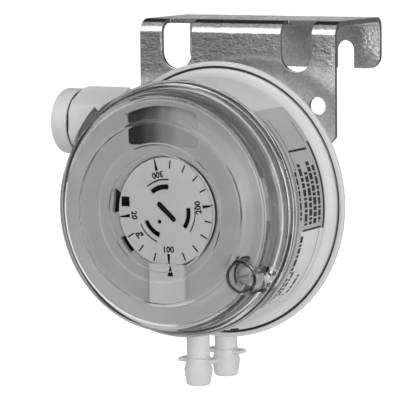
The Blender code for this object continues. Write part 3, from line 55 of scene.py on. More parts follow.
# Lengths of pieces are in millimetres, those of materials, camera and studio in metres, and
# angles in degrees. The device frame has X to the right, Y up and Z forward from the
# bracket's front plate, with the device axis at its origin.
MM = 0.001
GAP = 0.3
cover_low, cover_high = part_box("cover")
bracket_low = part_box("mounting_bracket")[0]
AXIS_HEIGHT = (cover_low.z + cover_high.z) / 2
ROW = Matrix.Scale(MM, 4)
DEVICE = (Matrix.Translation((0, bracket_low.y, AXIS_HEIGHT))
          @ Matrix.Rotation(math.radians(90), 4, "X") @ ROW)
GLAND_HEIGHT = 23.7
GLAND_DEPTH = 22.9
GLAND = (DEVICE @ Matrix.Translation((0, GLAND_HEIGHT, GLAND_DEPTH))
         @ Matrix.Rotation(math.radians(-90), 4, "Y"))

DRUM_RADIUS = 37.8
DRUM_BORE = 35.8
DRUM_FRONT = 35.3
RIM_RADIUS = 42.4
RIM_INNER = 41.05
JOINT_PLANE = 10.4
BULKHEAD_FRONT = 15.8
DIAL_RADIUS = 16.0
DIAL_BACK = 42.2
DIAL_FRONT = 43.6
WELL_RADIUS = 16.4
CARRIER_FRONT = 42.8
FRONT_PORT = 25.6
REAR_PORT = 7.9
INDEX_FRONT = 44.6
SHEET_THICKNESS = 1.5
COVER_SCREW = (26.896, -17.3)
WELL_PLACE = Matrix.Translation((*COVER_SCREW, 0))
RIM_OPENING = -82.4


def polar(radius, degrees):
    turn = math.radians(degrees)
    return (radius * math.cos(turn), radius * math.sin(turn))


def arc(centre, radius, start, end, step=9.0):
    count = max(2, math.ceil(abs(end - start) / step - 0.01))
    points = [polar(radius, start + (end - start) * i / count) for i in range(count + 1)]
    return [(centre[0] + x, centre[1] + y) for x, y in points]


def rounded(corners, closed=True, step=15.0):
    """Outline through (x, y) or (x, y, radius) corners, with each radius as an arc."""
    outline = []
    count = len(corners)
    for i, corner in enumerate(corners):
        here = Vector(corner[:2])
        radius = corner[2] if len(corner) == 3 else 0
        if not radius or (not closed and i in (0, count - 1)):
            outline.append(tuple(here))
            continue
        before = (Vector(corners[i - 1][:2]) - here).normalized()
        after = (Vector(corners[(i + 1) % count][:2]) - here).normalized()
        half = before.angle(after) / 2
        centre = here + (before + after).normalized() * radius / math.sin(half)
        start = here + before * radius / math.tan(half) - centre
        end = here + after * radius / math.tan(half) - centre
        sweep = math.degrees(start.angle_signed(end))
        first = math.degrees(math.atan2(start.y, start.x))
        outline += arc(centre, radius, first, first - sweep, step)
    return outline


def ring_sector(inner, outer, start, end, step=3.0):
    return arc((0, 0), outer, start, end, step) + arc((0, 0), inner, end, start, step)


def circle(centre, radius, count=64):
    return [(centre[0] + x, centre[1] + y)
            for x, y in (polar(radius, 360 * i / count) for i in range(count))]


def add(name, mesh):
    piece = bpy.data.objects.new(name, mesh)
    SCENE.collection.objects.link(piece)
    return piece


def from_bmesh(name, work):
    bmesh.ops.recalc_face_normals(work, faces=work.faces)
    mesh = bpy.data.meshes.new(name)
    work.to_mesh(mesh)
    work.free()
    return add(name, mesh)


def turned(name, profile, steps=144):
    """Turns a (radius, height) profile about local Z; an open profile ends on the axis."""
    work = bmesh.new()
    rings = []
    for radius, height in profile:
        if radius < 1e-6:
            rings.append([work.verts.new((0, 0, height))])
        else:
            rings.append([work.verts.new((*polar(radius, 360 * i / steps), height))
                          for i in range(steps)])
    closed = len(rings[0]) > 1
    following = rings[1:] + rings[:1] if closed else rings[1:]
    for ring, other in zip(rings, following):
        for i in range(steps):
            j = (i + 1) % steps
            corners = [ring[i % len(ring)], ring[j % len(ring)],
                       other[j % len(other)], other[i % len(other)]]
            corners = list(dict.fromkeys(corners))
            if len(corners) > 2:
                work.faces.new(corners)
    return from_bmesh(name, work)


def prism(name, outlines, low, high, edge=0.0):
    """Flat outlines in local XY, the later ones holes, filled from low to high along Z."""
    curve = bpy.data.curves.new(name, "CURVE")
    curve.dimensions = "2D"
    curve.fill_mode = "BOTH"
    curve.extrude = (high - low) / 2 - edge
    curve.bevel_depth = edge
    curve.bevel_resolution = 1
    curve.offset = -edge
    for i, outline in enumerate(outlines):
        area = sum(a[0] * b[1] - b[0] * a[1]
                   for a, b in zip(outline, outline[1:] + outline[:1]))
        if (area > 0) != (i == 0):
            outline = outline[::-1]
        spline = curve.splines.new("POLY")
        spline.points.add(len(outline) - 1)
        for point, (x, y) in zip(spline.points, outline):
            point.co = (x, y, 0, 1)
        spline.use_cyclic_u = True
    guide = add(name, curve)
    graph = bpy.context.evaluated_depsgraph_get()
    mesh = bpy.data.meshes.new_from_object(guide.evaluated_get(graph))
    bpy.data.objects.remove(guide)
    work = bmesh.new()
    work.from_mesh(mesh)
    bpy.data.meshes.remove(mesh)
    bmesh.ops.remove_doubles(work, verts=work.verts, dist=0.0005)
    bmesh.ops.translate(work, verts=work.verts, vec=(0, 0, (low + high) / 2))
    return from_bmesh(name, work)


def block(name, low, high, edge=0.0):
    low, high = Vector(low), Vector(high)
    shape = Matrix.Translation((low + high) / 2) @ Matrix.Diagonal((*(high - low), 1))
    work = bmesh.new()
    bmesh.ops.create_cube(work, size=1, matrix=shape)
    if edge:
        bmesh.ops.bevel(work, geom=work.edges[:], offset=edge, segments=2, profile=0.5,
                        affect="EDGES")
    return from_bmesh(name, work)


def tube(work, rings):
    """Joins equal rings of vertices one after the other and closes both ends."""
    for one, two in zip(rings, rings[1:]):
        for k in range(len(one)):
            j = (k + 1) % len(one)
            work.faces.new([one[k], one[j], two[j], two[k]])
    work.faces.new(rings[0])
    work.faces.new(rings[-1][::-1])


def rod(name, radius, start, end, steps=48):
    start, end = Vector(start), Vector(end)
    turn = (end - start).to_track_quat("Z", "Y").to_matrix().to_4x4()
    shape = Matrix.Translation((start + end) / 2) @ turn
    work = bmesh.new()
    bmesh.ops.create_cone(work, cap_ends=True, segments=steps, radius1=radius,
                          radius2=radius, depth=(end - start).length, matrix=shape)
    return from_bmesh(name, work)


def merge(piece, operation, *tools):
    """Joins, cuts or intersects a piece with tools, which are used up."""
    for tool in tools:
        step = piece.modifiers.new(tool.name, "BOOLEAN")
        step.object = tool
        step.operation = operation
        step.solver = "EXACT"
    graph = bpy.context.evaluated_depsgraph_get()
    mesh = bpy.data.meshes.new_from_object(piece.evaluated_get(graph))
    piece.modifiers.clear()
    piece.data = mesh
    for tool in tools:
        bpy.data.objects.remove(tool)
    return piece


def settle(piece, place, material, body, slot, *nodes, sharp=30):
    """Puts a finished piece in the row frame, dresses it and lets it ride on its body, if any."""
    piece.data.transform(place)
    piece.data.shade_smooth()
    piece.data.set_sharp_from_angle(angle=math.radians(sharp))
    piece.data.materials.clear()
    piece.data.materials.append(material)
    normals = piece.modifiers.new("normals", "WEIGHTED_NORMAL")
    normals.keep_sharp = True
    if body:
        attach(piece, body)
    if nodes:
        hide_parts(*nodes)


def node(tree, kind, **values):
    """Shader node: a value goes to the socket of its name, or else to the setting of its name."""
    made = tree.nodes.new(kind)
    for key, value in values.items():
        socket = made.inputs.get(key.replace("_", " "))
        if socket is not None:
            socket.default_value = value
        else:
            setattr(made, key, value)
    return made


def maths(tree, operation, *values):
    """Math node on plain numbers and on outputs of other nodes."""
    made = node(tree, "ShaderNodeMath", operation=operation)
    for socket, value in zip(made.inputs, values):
        if isinstance(value, float):
            socket.default_value = value
        else:
            tree.links.new(value, socket)
    return made.outputs[0]


def grey(level):
    return (level, level, level, 1.0)


def noise(tree, coords, scale, detail=3.0, roughness=0.55, stretch=None):
    if stretch:
        mapping = node(tree, "ShaderNodeMapping", Scale=stretch)
        tree.links.new(coords, mapping.inputs["Vector"])
        coords = mapping.outputs["Vector"]
    made = node(tree, "ShaderNodeTexNoise", Scale=scale, Detail=detail, Roughness=roughness)
    tree.links.new(coords, made.inputs["Vector"])
    return made.outputs["Fac"]


def spread(tree, value, low, high, out_low, out_high):
    """Maps a range of a value to another range, and holds it at both ends."""
    made = node(tree, "ShaderNodeMapRange")
    for socket, number in zip(made.inputs[1:5], (low, high, out_low, out_high)):
        socket.default_value = number
    tree.links.new(value, made.inputs[0])
    return made.outputs[0]


def ramp(tree, share, stops, low, high, blend="LINEAR"):
    """Grey levels at stops, with the share's 0 at low and its 1 at high."""
    made = node(tree, "ShaderNodeValToRGB")
    elements = made.color_ramp.elements
    while len(elements) < len(stops):
        elements.new(0.5)
    for element, (place, level) in zip(elements, stops):
        element.position = (place - low) / (high - low)
        element.color = grey(level)
    made.color_ramp.interpolation = blend
    tree.links.new(share, made.inputs[0])
    return made.outputs[0]


def tint(tree, factor, dark, light):
    made = node(tree, "ShaderNodeMix", data_type="RGBA")
    made.inputs[6].default_value = grey(dark) if isinstance(dark, float) else dark
    made.inputs[7].default_value = grey(light) if isinstance(light, float) else light
    tree.links.new(factor, made.inputs[0])
    return made.outputs[2]


def bump(tree, shader, height, distance, strength=1.0):
    made = node(tree, "ShaderNodeBump", Strength=strength, Distance=distance)
    tree.links.new(height, made.inputs["Height"])
    tree.links.new(made.outputs["Normal"], shader.inputs["Normal"])


def blank(name):
    """New material, with its node tree, its shader and the object's own coordinates."""
    made = bpy.data.materials.new(name)
    made.use_nodes = True
    tree = made.node_tree
    coords = node(tree, "ShaderNodeTexCoord").outputs["Object"]
    return made, tree, tree.nodes["Principled BSDF"], coords


def look(name, colour, rough, vary=0.04, mottle=90, grain=3200, depth=0.000006,
         rough_vary=0.05, **sockets):
    """Base colour that drifts with a broad noise, roughness and bump that follow a fine grain."""
    made, tree, shader, coords = blank(name)
    broad = noise(tree, coords, mottle, 4.0)
    fine = noise(tree, coords, grain, 2.0)
    dark = tuple(c * (1 - vary) for c in colour[:3]) + (1.0,)
    light = tuple(min(1.0, c * (1 + vary)) for c in colour[:3]) + (1.0,)
    tree.links.new(tint(tree, spread(tree, broad, 0.35, 0.65, 0, 1), dark, light),
                   shader.inputs["Base Color"])
    tree.links.new(spread(tree, fine, 0.3, 0.7, rough - rough_vary, rough + rough_vary),
                   shader.inputs["Roughness"])
    bump(tree, shader, fine, depth)
    for key, value in sockets.items():
        shader.inputs[key.replace("_", " ")].default_value = value
    return made


def galvanised():
    """Zinc-coated sheet: fine crystals in soft clouds, with faint rolling lines. The front
    plate darkens towards its top: a painted shade for the dark reflection under the fold."""
    made, tree, shader, coords = blank("galvanised_sheet")
    cells = node(tree, "ShaderNodeTexVoronoi", Scale=1300.0)
    tree.links.new(coords, cells.inputs["Vector"])
    crystals = node(tree, "ShaderNodeSeparateColor")
    tree.links.new(cells.outputs["Color"], crystals.inputs[0])
    clouds = noise(tree, coords, 70, 5.0, 0.65)
    lines = noise(tree, coords, 700, 3.0, 0.6, stretch=(0.7, 1.0, 1.0))
    zinc = maths(tree, "MULTIPLY_ADD", crystals.outputs[0], 0.3, clouds)
    place = node(tree, "ShaderNodeSeparateXYZ")
    tree.links.new(coords, place.inputs[0])
    # Painted shade: the front plate's colour darkens towards its top, in place of the dark
    # reflection under the fold.
    high = spread(tree, place.outputs["Z"], -0.012, 0.002, 0.0, 0.4)
    forward = spread(tree, place.outputs["Y"], -0.030, -0.033, 0.0, 1.0)
    painted_shade_factor = maths(tree, "SUBTRACT", 1.0, maths(tree, "MULTIPLY", high, forward))
    level = maths(tree, "MULTIPLY", painted_shade_factor, spread(tree, zinc, 0.4, 0.95, 0.6, 1.0))
    tree.links.new(tint(tree, level, 0.0, 0.95), shader.inputs["Base Color"])
    tree.links.new(spread(tree, zinc, 0.4, 0.95, 0.2, 0.09), shader.inputs["Roughness"])
    bump(tree, shader, maths(tree, "ADD", lines, clouds), 0.00009, 0.7)
    shader.inputs["Metallic"].default_value = 1.0
    return made


def guard_painted_shade():
    """Guard over the terminals, whose colour is a painted shade of the terminal compartment:
    near black close to its left end, paling to the carrier's grey at both ends."""
    made = look("guard_painted_shade", grey(0.28), 0.6, Specular_IOR_Level=0.2)
    tree = made.node_tree
    coords = node(tree, "ShaderNodeTexCoord").outputs["Object"]
    place = node(tree, "ShaderNodeSeparateXYZ")
    tree.links.new(coords, place.inputs[0])
    cloud = noise(tree, coords, 160, 3.0)
    across = maths(tree, "MULTIPLY_ADD", cloud, 0.004, place.outputs["X"])
    reach = 20
    share = spread(tree, across, -reach * MM, reach * MM, 0, 1)
    # Painted shade: grey levels across the guard, darkest close to its left end.
    stops = ((-13.2, 0.4), (-12.2, 0.14), (-10.8, 0.02), (-7.6, 0.018), (-3.6, 0.085), (2.0, 0.25),
             (7.0, 0.4))
    tree.links.new(ramp(tree, share, stops, -reach, reach, "EASE"),
                   tree.nodes["Principled BSDF"].inputs["Base Color"])
    return made


def clear_plastic():
    """Clear moulding: refracts, with a trace of grey and the faint ripple of its mould."""
    made, tree, shader, coords = blank("clear_plastic")
    ripple = noise(tree, coords, 45, 2.0)
    tree.links.new(tint(tree, ripple, 0.93, 0.97), shader.inputs["Base Color"])
    tree.links.new(spread(tree, ripple, 0.3, 0.7, 0.02, 0.05), shader.inputs["Roughness"])
    bump(tree, shader, ripple, 0.0004, 0.12)
    shader.inputs["IOR"].default_value = 1.49
    shader.inputs["Transmission Weight"].default_value = 1.0
    depth = node(tree, "ShaderNodeVolumeAbsorption", Color=grey(0.5), Density=180.0)
    tree.links.new(depth.outputs[0], tree.nodes["Material Output"].inputs["Volume"])
    return made


PALE = look("pale_plastic", grey(0.69), 0.42)
GLAND_PALE = look("gland_plastic", grey(0.72), 0.46, grain=2600)
DIAL = look("dial_plastic", grey(0.65), 0.5, vary=0.03)
INNER = look("inner_plastic", grey(0.44), 0.48)
TAB = look("tab_plastic", grey(0.63), 0.45)
# Dark grey that paints the shade on the carrier's outer wall.
CARRIER_PAINTED_SHADE = look("carrier_painted_shade", grey(0.19), 0.5)
# Near black, also used for the painted shade inside the drum and in the rim's opening.
DARK = look("dark_plastic", grey(0.035), 0.5, vary=0.15)
# Near black for the terminal block, a painted shade of the terminal compartment.
BLOCK = look("block_plastic", grey(0.05), 0.5)
BLACK = look("black_plastic", grey(0.02), 0.45, vary=0.2)
# Dark grey of the gland's collar, a painted shade between the hexagon and the drum.
COLLAR_PAINTED_SHADE = look("gland_collar_painted_shade", grey(0.15), 0.7, vary=0.15, depth=0.00001)
RUBBER = look("black_rubber", grey(0.03), 0.7, vary=0.2, depth=0.00001)
# Black of the print, and of the dark pieces that paint the shade behind the dial's slots and the
# carrier's slot.
INK_AND_PAINTED_SHADE = look("black_ink_and_painted_shade", grey(0.002), 0.7, vary=0.2, Specular_IOR_Level=0.05)
LABEL = look("label_film", grey(0.46), 0.38, vary=0.03)
LABEL_LIGHT = look("label_light", grey(0.72), 0.38, vary=0.03)
LABEL_INK = look("label_ink", grey(0.008), 0.5, vary=0.3)
ZINC = look("zinc_plate", grey(0.62), 0.3, vary=0.08, mottle=400, Metallic=1.0)
STEEL = look("bright_steel", grey(0.6), 0.28, vary=0.06, mottle=500, Metallic=1.0)
DULL_STEEL = look("dull_steel", grey(0.4), 0.42, vary=0.12, mottle=500, Metallic=1.0)
PRESSED = look("pressed_aluminium", grey(0.66), 0.4, vary=0.06, mottle=300, Metallic=1.0)
BRASS = look("terminal_brass", (0.3, 0.285, 0.25, 1), 0.32, vary=0.08, mottle=500, Metallic=1.0)
SHEET = galvanised()
CUT_EDGE = look("cut_edge", grey(0.2), 0.4, vary=0.2, mottle=900, Metallic=1.0)
GUARD_PAINTED_SHADE = guard_painted_shade()
CLEAR = clear_plastic()


def bracket():
    """Punched blank with softened edges, folded at both ends of the top flange."""
    half = SHEET_THICKNESS / 2
    depth, top = 33.6, 8.1
    rear_height, plate_height = 16.2, 63.3
    rear_radius, front_radius = 3.0, 4.6
    rear_bend, front_bend = rear_radius - half, front_radius - half
    rear_end = rear_height - rear_radius
    top_start = rear_end + rear_bend * math.pi / 2
    top_end = top_start + depth - rear_radius - front_radius
    plate_start = top_end + front_bend * math.pi / 2
    plate_end = plate_start + plate_height - front_radius
    side, neck, shoulder = 34.0, 26.0, 35.1
    neck_start = shoulder + side - neck

    def down(below_top):
        return plate_start + below_top - front_radius

    def key(x):
        left, right, deep = x - 3.05, x + 3.05, 8.7
        return [(right, 0), (right, deep, 3.0), (left, deep, 3.0), (left, 0)]

    outline = rounded([
        (-side, 0, 4.0), *reversed(key(-21.9)), *reversed(key(21.9)), (side, 0, 4.0),
        (side, down(shoulder), 1.2), (neck, down(neck_start), 1.5), (neck, plate_end, 4.0),
        (-neck, plate_end, 4.0), (-neck, down(neck_start), 1.5),
        (-side, down(shoulder), 1.2)], step=9)
    holes = []
    slot_half, slot_low, slot_high = 5.3, down(15.4), top_start + 25.0
    for sign in (-1, 1):
        left, right = 20.8 * sign - slot_half, 20.8 * sign + slot_half
        holes.append(rounded([(left, slot_low, 5.29), (right, slot_low, 5.29),
                              (right, slot_high, 0.5), (left, slot_high, 0.5)], step=9))
        holes.append(circle((27.9 * sign, down(25.6)), 2.75, 40))
        holes.append(circle((20.0 * sign, down(54.3)), 1.9, 32))
    piece = prism("bracket_sheet", [outline] + holes, -half, half, 0.14)
    work = bmesh.new()
    work.from_mesh(piece.data)
    for face in work.faces:
        face.material_index = int(abs(face.normal.z) < 0.5)
    turns = 10
    for start, end in ((rear_end, top_start), (top_end, plate_start)):
        for i in range(turns + 1):
            bmesh.ops.bisect_plane(
                work, geom=work.verts[:] + work.edges[:] + work.faces[:], dist=0.0005,
                plane_co=(0, start + (end - start) * i / turns, 0), plane_no=(0, 1, 0))
    for vert in work.verts:
        x, s, h = vert.co
        if s <= rear_end:
            y, z = h - half, s - rear_height + top
        elif s < top_start:
            turn = (s - rear_end) / rear_bend
            y = -rear_radius + (rear_bend + h) * math.cos(turn)
            z = top - rear_radius + (rear_bend + h) * math.sin(turn)
        elif s <= top_end:
            y, z = -rear_radius - (s - top_start), top - half + h
        elif s < plate_start:
            turn = (s - top_end) / front_bend
            y = -depth + front_radius - (front_bend + h) * math.sin(turn)
            z = top - front_radius + (front_bend + h) * math.cos(turn)
        else:
            y, z = -depth + half - h, top - front_radius - (s - plate_start)
        vert.co = (x, y, z)
    bmesh.ops.recalc_face_normals(work, faces=work.faces)
    work.to_mesh(piece.data)
    work.free()
    cut_faces = [face.material_index for face in piece.data.polygons]
    settle(piece, ROW, SHEET, "housing", "galvanised_sheet", "mounting_bracket", sharp=40)
    piece.data.materials.append(CUT_EDGE)
    piece.data.polygons.foreach_set("material_index", cut_faces)


def slotted_screw(name, head, height, shank, length):
    """Pan head forward of local Z = 0, with its shank behind."""
    piece = turned(name, rounded([
        (0, height), (head, height, height * 0.45), (head, 0), (shank, 0),
        (shank, shank - length), (0, -length)], closed=False), 64)
    slot = block(name + "_slot", (-head * 1.1, -0.4, height * 0.5),
                 (head * 1.1, 0.4, height * 1.2))
    return merge(piece, "DIFFERENCE", slot)


def screw_place(x, y, z, degrees, about="Z"):
    """Place of a screw on the device, turned about its own axis or turned over."""
    return (DEVICE @ Matrix.Translation((x, y, z))
            @ Matrix.Rotation(math.radians(degrees), 4, about))


def screws():
    for sign, word in ((-1, "left"), (1, "right")):
        settle(slotted_screw("pan_screw_" + word, 3.2, 2.2, 1.6, 7.2),
               screw_place(20.0 * sign, 0, -SHEET_THICKNESS - GAP, 180, "X"), STEEL,
               "housing", "bright_steel", "bracket_screw_" + word)
    settle(slotted_screw("cover_pan_screw", 3.2, 2.2, 1.55, 13.4),
           screw_place(*COVER_SCREW, 43.4, 8), DULL_STEEL, "housing", "bright_steel",
           "cover_screw")
    washer = turned("cover_washer", [(1.75, 43.14), (4.3, 43.14), (4.3, 43.38), (1.75, 43.38)], 64)
    # Black ring round the well's mouth, which also paints the dark edge that the well's clear wall
    # shows.
    ring = turned("well_ring", rounded([
        (4.0, 47.9, 0.1), (4.57, 47.9), (4.57, 48.4), (4.0, 48.4, 0.2)]), 72)
    settle(ring, DEVICE @ WELL_PLACE, RUBBER, "housing", "black_rubber")
    settle(washer, DEVICE @ WELL_PLACE, DULL_STEEL, "housing", "bright_steel")
    for i, x in enumerate((-9.6, -2.1, 5.4), 1):
        settle(slotted_screw(f"clamp_screw_{i}", 2.1, 1.3, 1.2, 2.4),
               screw_place(x, 24.8, 33.7, 20 * i), ZINC, "housing", "zinc_screw",
               f"terminal_screw_{i}")


def nipple(housing, word, depth, root):
    """Hose nipple that points down: neck, shoulder with two ears, barb and bore."""
    profile = rounded([
        (0, 55.0), (3.6, 55.0, 0.9), (4.35, 50.1, 1.6), (3.85, 48.5, 0.2), (4.05, 46.7, 0.2),
        (3.5, 46.3), (3.5, root), (0, root)], closed=False)
    neck = turned("neck_" + word, profile, 64)
    neck.data.transform(Matrix.Translation((0, 0, depth))
                        @ Matrix.Rotation(math.radians(90), 4, "X"))
    ears = block("ears_" + word, (-6.0, -47.9, depth - 2.2), (6.0, -46.7, depth + 2.2), 0.3)
    merge(housing, "UNION", neck, ears)
    merge(housing, "DIFFERENCE", rod("bore_" + word, 1.4, (0, -56, depth),
                                     (0, -root - 1, depth), 32))


def rear_housing():
    """Flat pan behind the joint, with the wide rim round it and the rear nipple."""
    profile = rounded([
        (0, 2.3), (33.5, 2.3, 1.0), (33.5, JOINT_PLANE), (RIM_INNER, JOINT_PLANE),
        (RIM_INNER, 12.0, 0.15), (RIM_RADIUS, 12.0, 0.5), (RIM_RADIUS, JOINT_PLANE, 0.4),
        (39.4, 9.6, 0.6), (36.4, 0.3, 1.4), (0, 0.3)], closed=False)
    housing = turned("rear_housing", profile)
    nipple(housing, "rear", REAR_PORT, RIM_INNER + GAP)
    merge(housing, "UNION", rod("port_root", 2.2, (0, -34.5, REAR_PORT), (0, -42.7, REAR_PORT)))
    settle(housing, DEVICE, PALE, "housing", "housing_plastic", "lower_housing")


def rim_arc(inner, outer, half_angle):
    """Short arc in the front of the rim, a little right of its lowest point."""
    return ring_sector(inner, outer, RIM_OPENING - half_angle, RIM_OPENING + half_angle)


def front_housing():
    """Drum with its bulkhead, the hub for the spindle, the flare to the rim, the duct from the
    front nipple and the post for the cover screw."""
    profile = rounded([
        (2.9, 38.3), (4.2, 38.3), (4.2, 39.7), (12.0, 39.7, 0.3), (12.0, BULKHEAD_FRONT, 0.8),
        (DRUM_BORE, BULKHEAD_FRONT, 0.8), (DRUM_BORE, DRUM_FRONT), (36.35, DRUM_FRONT),
        (36.35, 34.4), (37.25, 34.4), (37.25, DRUM_FRONT), (DRUM_RADIUS, DRUM_FRONT, 0.2),
        (DRUM_RADIUS, 12.5, 2.8), (40.25, 12.2, 0.2), (40.25, 10.7), (36.6, 10.7), (36.6, 12.2),
        (33.0, 12.2), (33.0, 14.0), (10.0, 14.0), (10.0, 37.7), (2.9, 37.7)])
    housing = turned("front_housing", profile)
    nipple(housing, "front", FRONT_PORT, DRUM_BORE + 1.0)
    merge(housing, "UNION",
          rod("duct", 3.2, (0, -36.6, FRONT_PORT), (0, -10.8, FRONT_PORT)),
          rod("cover_post", 4.0, (*COVER_SCREW, 15.5), (*COVER_SCREW, 41.2)))
    merge(housing, "DIFFERENCE",
          rod("gland_hole", 6.5, (-DRUM_RADIUS, GLAND_HEIGHT, GLAND_DEPTH),
              (-23, GLAND_HEIGHT, GLAND_DEPTH)),
          rod("cover_pilot", 1.85, (*COVER_SCREW, 30), (*COVER_SCREW, 41.5), 24),
          prism("rim_opening", [rim_arc(39.75, 40.5, 2.3)], 11.3, 12.9))
    settle(housing, DEVICE, PALE, "housing", "housing_plastic", "upper_housing")
    # Painted shade: a near-black floor in the rim's opening, so that the opening reads dark.
    painted_shade_piece = prism("rim_opening_painted_shade", [rim_arc(39.77, 40.48, 2.2)], 11.32, 11.9)
    settle(painted_shade_piece, DEVICE, DARK, "housing", "black_plastic")
    seal = turned("rim_seal", [(40.4, 10.5), (41.0, 10.5), (41.0, 11.2), (40.4, 11.2)])
    settle(seal, DEVICE, RUBBER, "housing", "black_rubber")


def liner():
    """Dark tray on the bulkhead and up the drum's bore, round the inner parts; its near black is a
    painted shade inside the drum.
    """
    profile = rounded([
        (12.6, 16.3, 0.2), (35.2, 16.3, 0.6), (35.2, 34.9), (35.7, 34.9, 0.1), (35.7, 15.9, 0.9),
        (12.6, 15.9)])
    piece = turned("bore_liner", profile)
    merge(piece, "DIFFERENCE",
          rod("liner_gland", 7.0, (-38, GLAND_HEIGHT, GLAND_DEPTH),
              (-23, GLAND_HEIGHT, GLAND_DEPTH)),
          rod("liner_duct", 3.6, (0, -38, FRONT_PORT), (0, -30, FRONT_PORT)),
          rod("liner_post", 7.5, (*COVER_SCREW, 15), (*COVER_SCREW, 36)),
          block("liner_block", (-14, 20.1, 15), (9.8, 29.5, 17)))
    # Painted shade: the tray's near black darkens the inside of the drum.
    settle(piece, DEVICE, DARK, "housing", "black_plastic")


def clear_cover():
    """Stepped clear moulding with two ring beads, an outer rim and a deep screw well."""
    crown, dome_radius = 49.2, 385
    dome = [(r, crown - r * r / (2 * dome_radius)) for r in (4, 8, 12, 16)]
    profile = rounded([
        (0, crown), *dome, (20.1, 48.68, 0.2), (20.5, 49.0, 0.25), (20.9, 48.75, 0.2),
        (26.5, 49.1, 0.2), (27.0, 49.5, 0.3), (27.4, 49.0, 0.2), (27.9, 48.3, 0.2),
        (34.6, 47.5, 0.35), (35.7, 46.2, 0.3), (36.0, 41.6, 0.4), (37.2, 40.8, 0.4),
        (37.5, 38.0, 0.5), (38.5, 37.4, 0.3), (38.5, 35.6, 0.2), (35.9, 35.6), (35.6, 39.2, 0.3),
        (34.1, 40.8, 0.3), (33.8, 45.6, 0.3), (33.1, 46.0, 0.3), (28.2, 46.7, 0.4),
        (27.4, 47.2, 0.3), (20.5, 47.1, 0.3), (17.6, 47.1, 0.1), (17.4, 46.8, 0.1),
        (17.2, 47.1, 0.1), (0, 47.1)], closed=False)
    piece = turned("clear_cover", profile, 192)
    boss = turned("boss", rounded([
        (0, 48.6), (5.15, 48.6, 0.25), (5.15, 36.9, 0.2), (0, 36.9)], closed=False), 64)
    boss.data.transform(WELL_PLACE)
    merge(piece, "UNION", boss)
    well = turned("well", rounded([
        (0, 50.6), (4.6, 50.6), (4.55, 43.1, 0.3), (0, 43.1)], closed=False), 64)
    well.data.transform(WELL_PLACE)
    merge(piece, "DIFFERENCE", well,
          rod("socket", 4.3, (*COVER_SCREW, 34.6), (*COVER_SCREW, 41.5), 64),
          rod("screw_hole", 1.85, (*COVER_SCREW, 40.5), (*COVER_SCREW, 44.1), 32))
    settle(piece, DEVICE, CLEAR, "housing", "clear_plastic", "cover", sharp=35)
    piece.visible_shadow = False


def gasket():
    profile = rounded([(36.45, 35.5, 0.2), (37.15, 35.5, 0.2), (37.15, 34.5), (36.45, 34.5)])
    settle(turned("gasket_ring", profile), DEVICE, RUBBER, "housing", "black_rubber",
           "cover_gasket")


def window_outline(inset, corner):
    """Opening over the terminals, drawn in by an inset at its left, right and lower sides."""
    left, right, low, high = -13.1 + inset, 10.5 - inset, 19.6 + inset, 36
    return rounded([(left, low, corner), (right, low, corner), (right, high), (left, high)])


def carrier():
    """Plate and outer wall round the dial's well, with the guard over the terminals, the index
    tab and a black sheet behind the arc-shaped slot. The black sheet, the guard's graded tone and
    the outer wall's dark grey are painted shade."""
    profile = rounded([
        (7.0, 41.4), (WELL_RADIUS, 41.4), (WELL_RADIUS, CARRIER_FRONT, 0.3),
        (29.0, CARRIER_FRONT, 3.0), (32.9, 45.5, 0.3), (33.5, 45.5, 0.2), (33.7, 40.6, 0.4),
        (35.1, 38.8, 0.4), (35.1, 35.9), (33.9, 35.9), (33.9, 38.4), (31.0, 40.6), (31.0, 41.4),
        (17.8, 41.4), (17.8, 40.0), (13.7, 40.0), (13.7, 34.0), (12.3, 34.0),
        (12.3, 40.0), (7.0, 40.0)])
    piece = turned("carrier_plate", profile)
    window = merge(prism("window", [window_outline(0.0, 1.0)], 32, 46.5), "INTERSECT",
                   rod("window_reach", 31.4, (0, 0, 31), (0, 0, 47), 144))
    notch = rounded([(-15.7, 4.8, 0.2), (-17.9, 6.6, 0.6), (-18.7, -1.6, 0.6), (-16.1, -0.6, 0.2)])
    below, above = 38.7, 43.8
    merge(piece, "DIFFERENCE",
          window, prism("notch", [notch], below, above),
          prism("arc_window", [ring_sector(15.7, 18.2, 208, 226)], below, above),
          rod("boss_clearance", 5.7, (*COVER_SCREW, 32), (*COVER_SCREW, above), 64))
    guard = turned("terminal_guard", rounded([
        (18.0, 41.7), (18.0, 42.75), (31.3, 42.75), (31.3, 41.7)]))
    merge(guard, "INTERSECT", prism("guard_outline", [window_outline(0.08, 0.95)], 40, 46))
    settle(guard, DEVICE, GUARD_PAINTED_SHADE, "housing", "inner_plastic")
    # Painted shade: a black sheet behind the arc-shaped slot, so that the slot reads dark.
    painted_shade_piece = prism("window_painted_shade", [ring_sector(15.8, 19.2, 170, 230)], 39.3, 39.7)
    settle(painted_shade_piece, DEVICE, INK_AND_PAINTED_SHADE, "housing", "black_plastic")
    left, right = -5.5, 6.3
    tab = merge(block("index_tab", (left, -27.4, 42.83), (right, -16.6, INDEX_FRONT), 0.25),
                "UNION", block("index_lip", (left, -17.4, 43.9), (right, -15.3, INDEX_FRONT), 0.2))
    settle(tab, DEVICE, TAB, "housing", "inner_plastic")
    for sign in (-1, 1):
        ear = sorted((3.1 * sign, 4.7 * sign))
        cheek = sorted((10.3 * sign, 11.5 * sign))
        merge(piece, "UNION",
              block("ear", (26.4, ear[0], 27.3), (29.6, ear[1], 41.8)),
              block("cheek", (18.2, cheek[0], 37.6), (24.6, cheek[1], 41.8)))
    # Painted shade: faces of the carrier beyond this radius take a dark grey.
    painted_shade_start = 33.45
    outer = [int(Vector(face.center[:2]).length > painted_shade_start) for face in piece.data.polygons]
    settle(piece, DEVICE, INNER, "housing", "inner_plastic", "dial_carrier")
    piece.data.materials.append(CARRIER_PAINTED_SHADE)
    piece.data.polygons.foreach_set("material_index", outer)


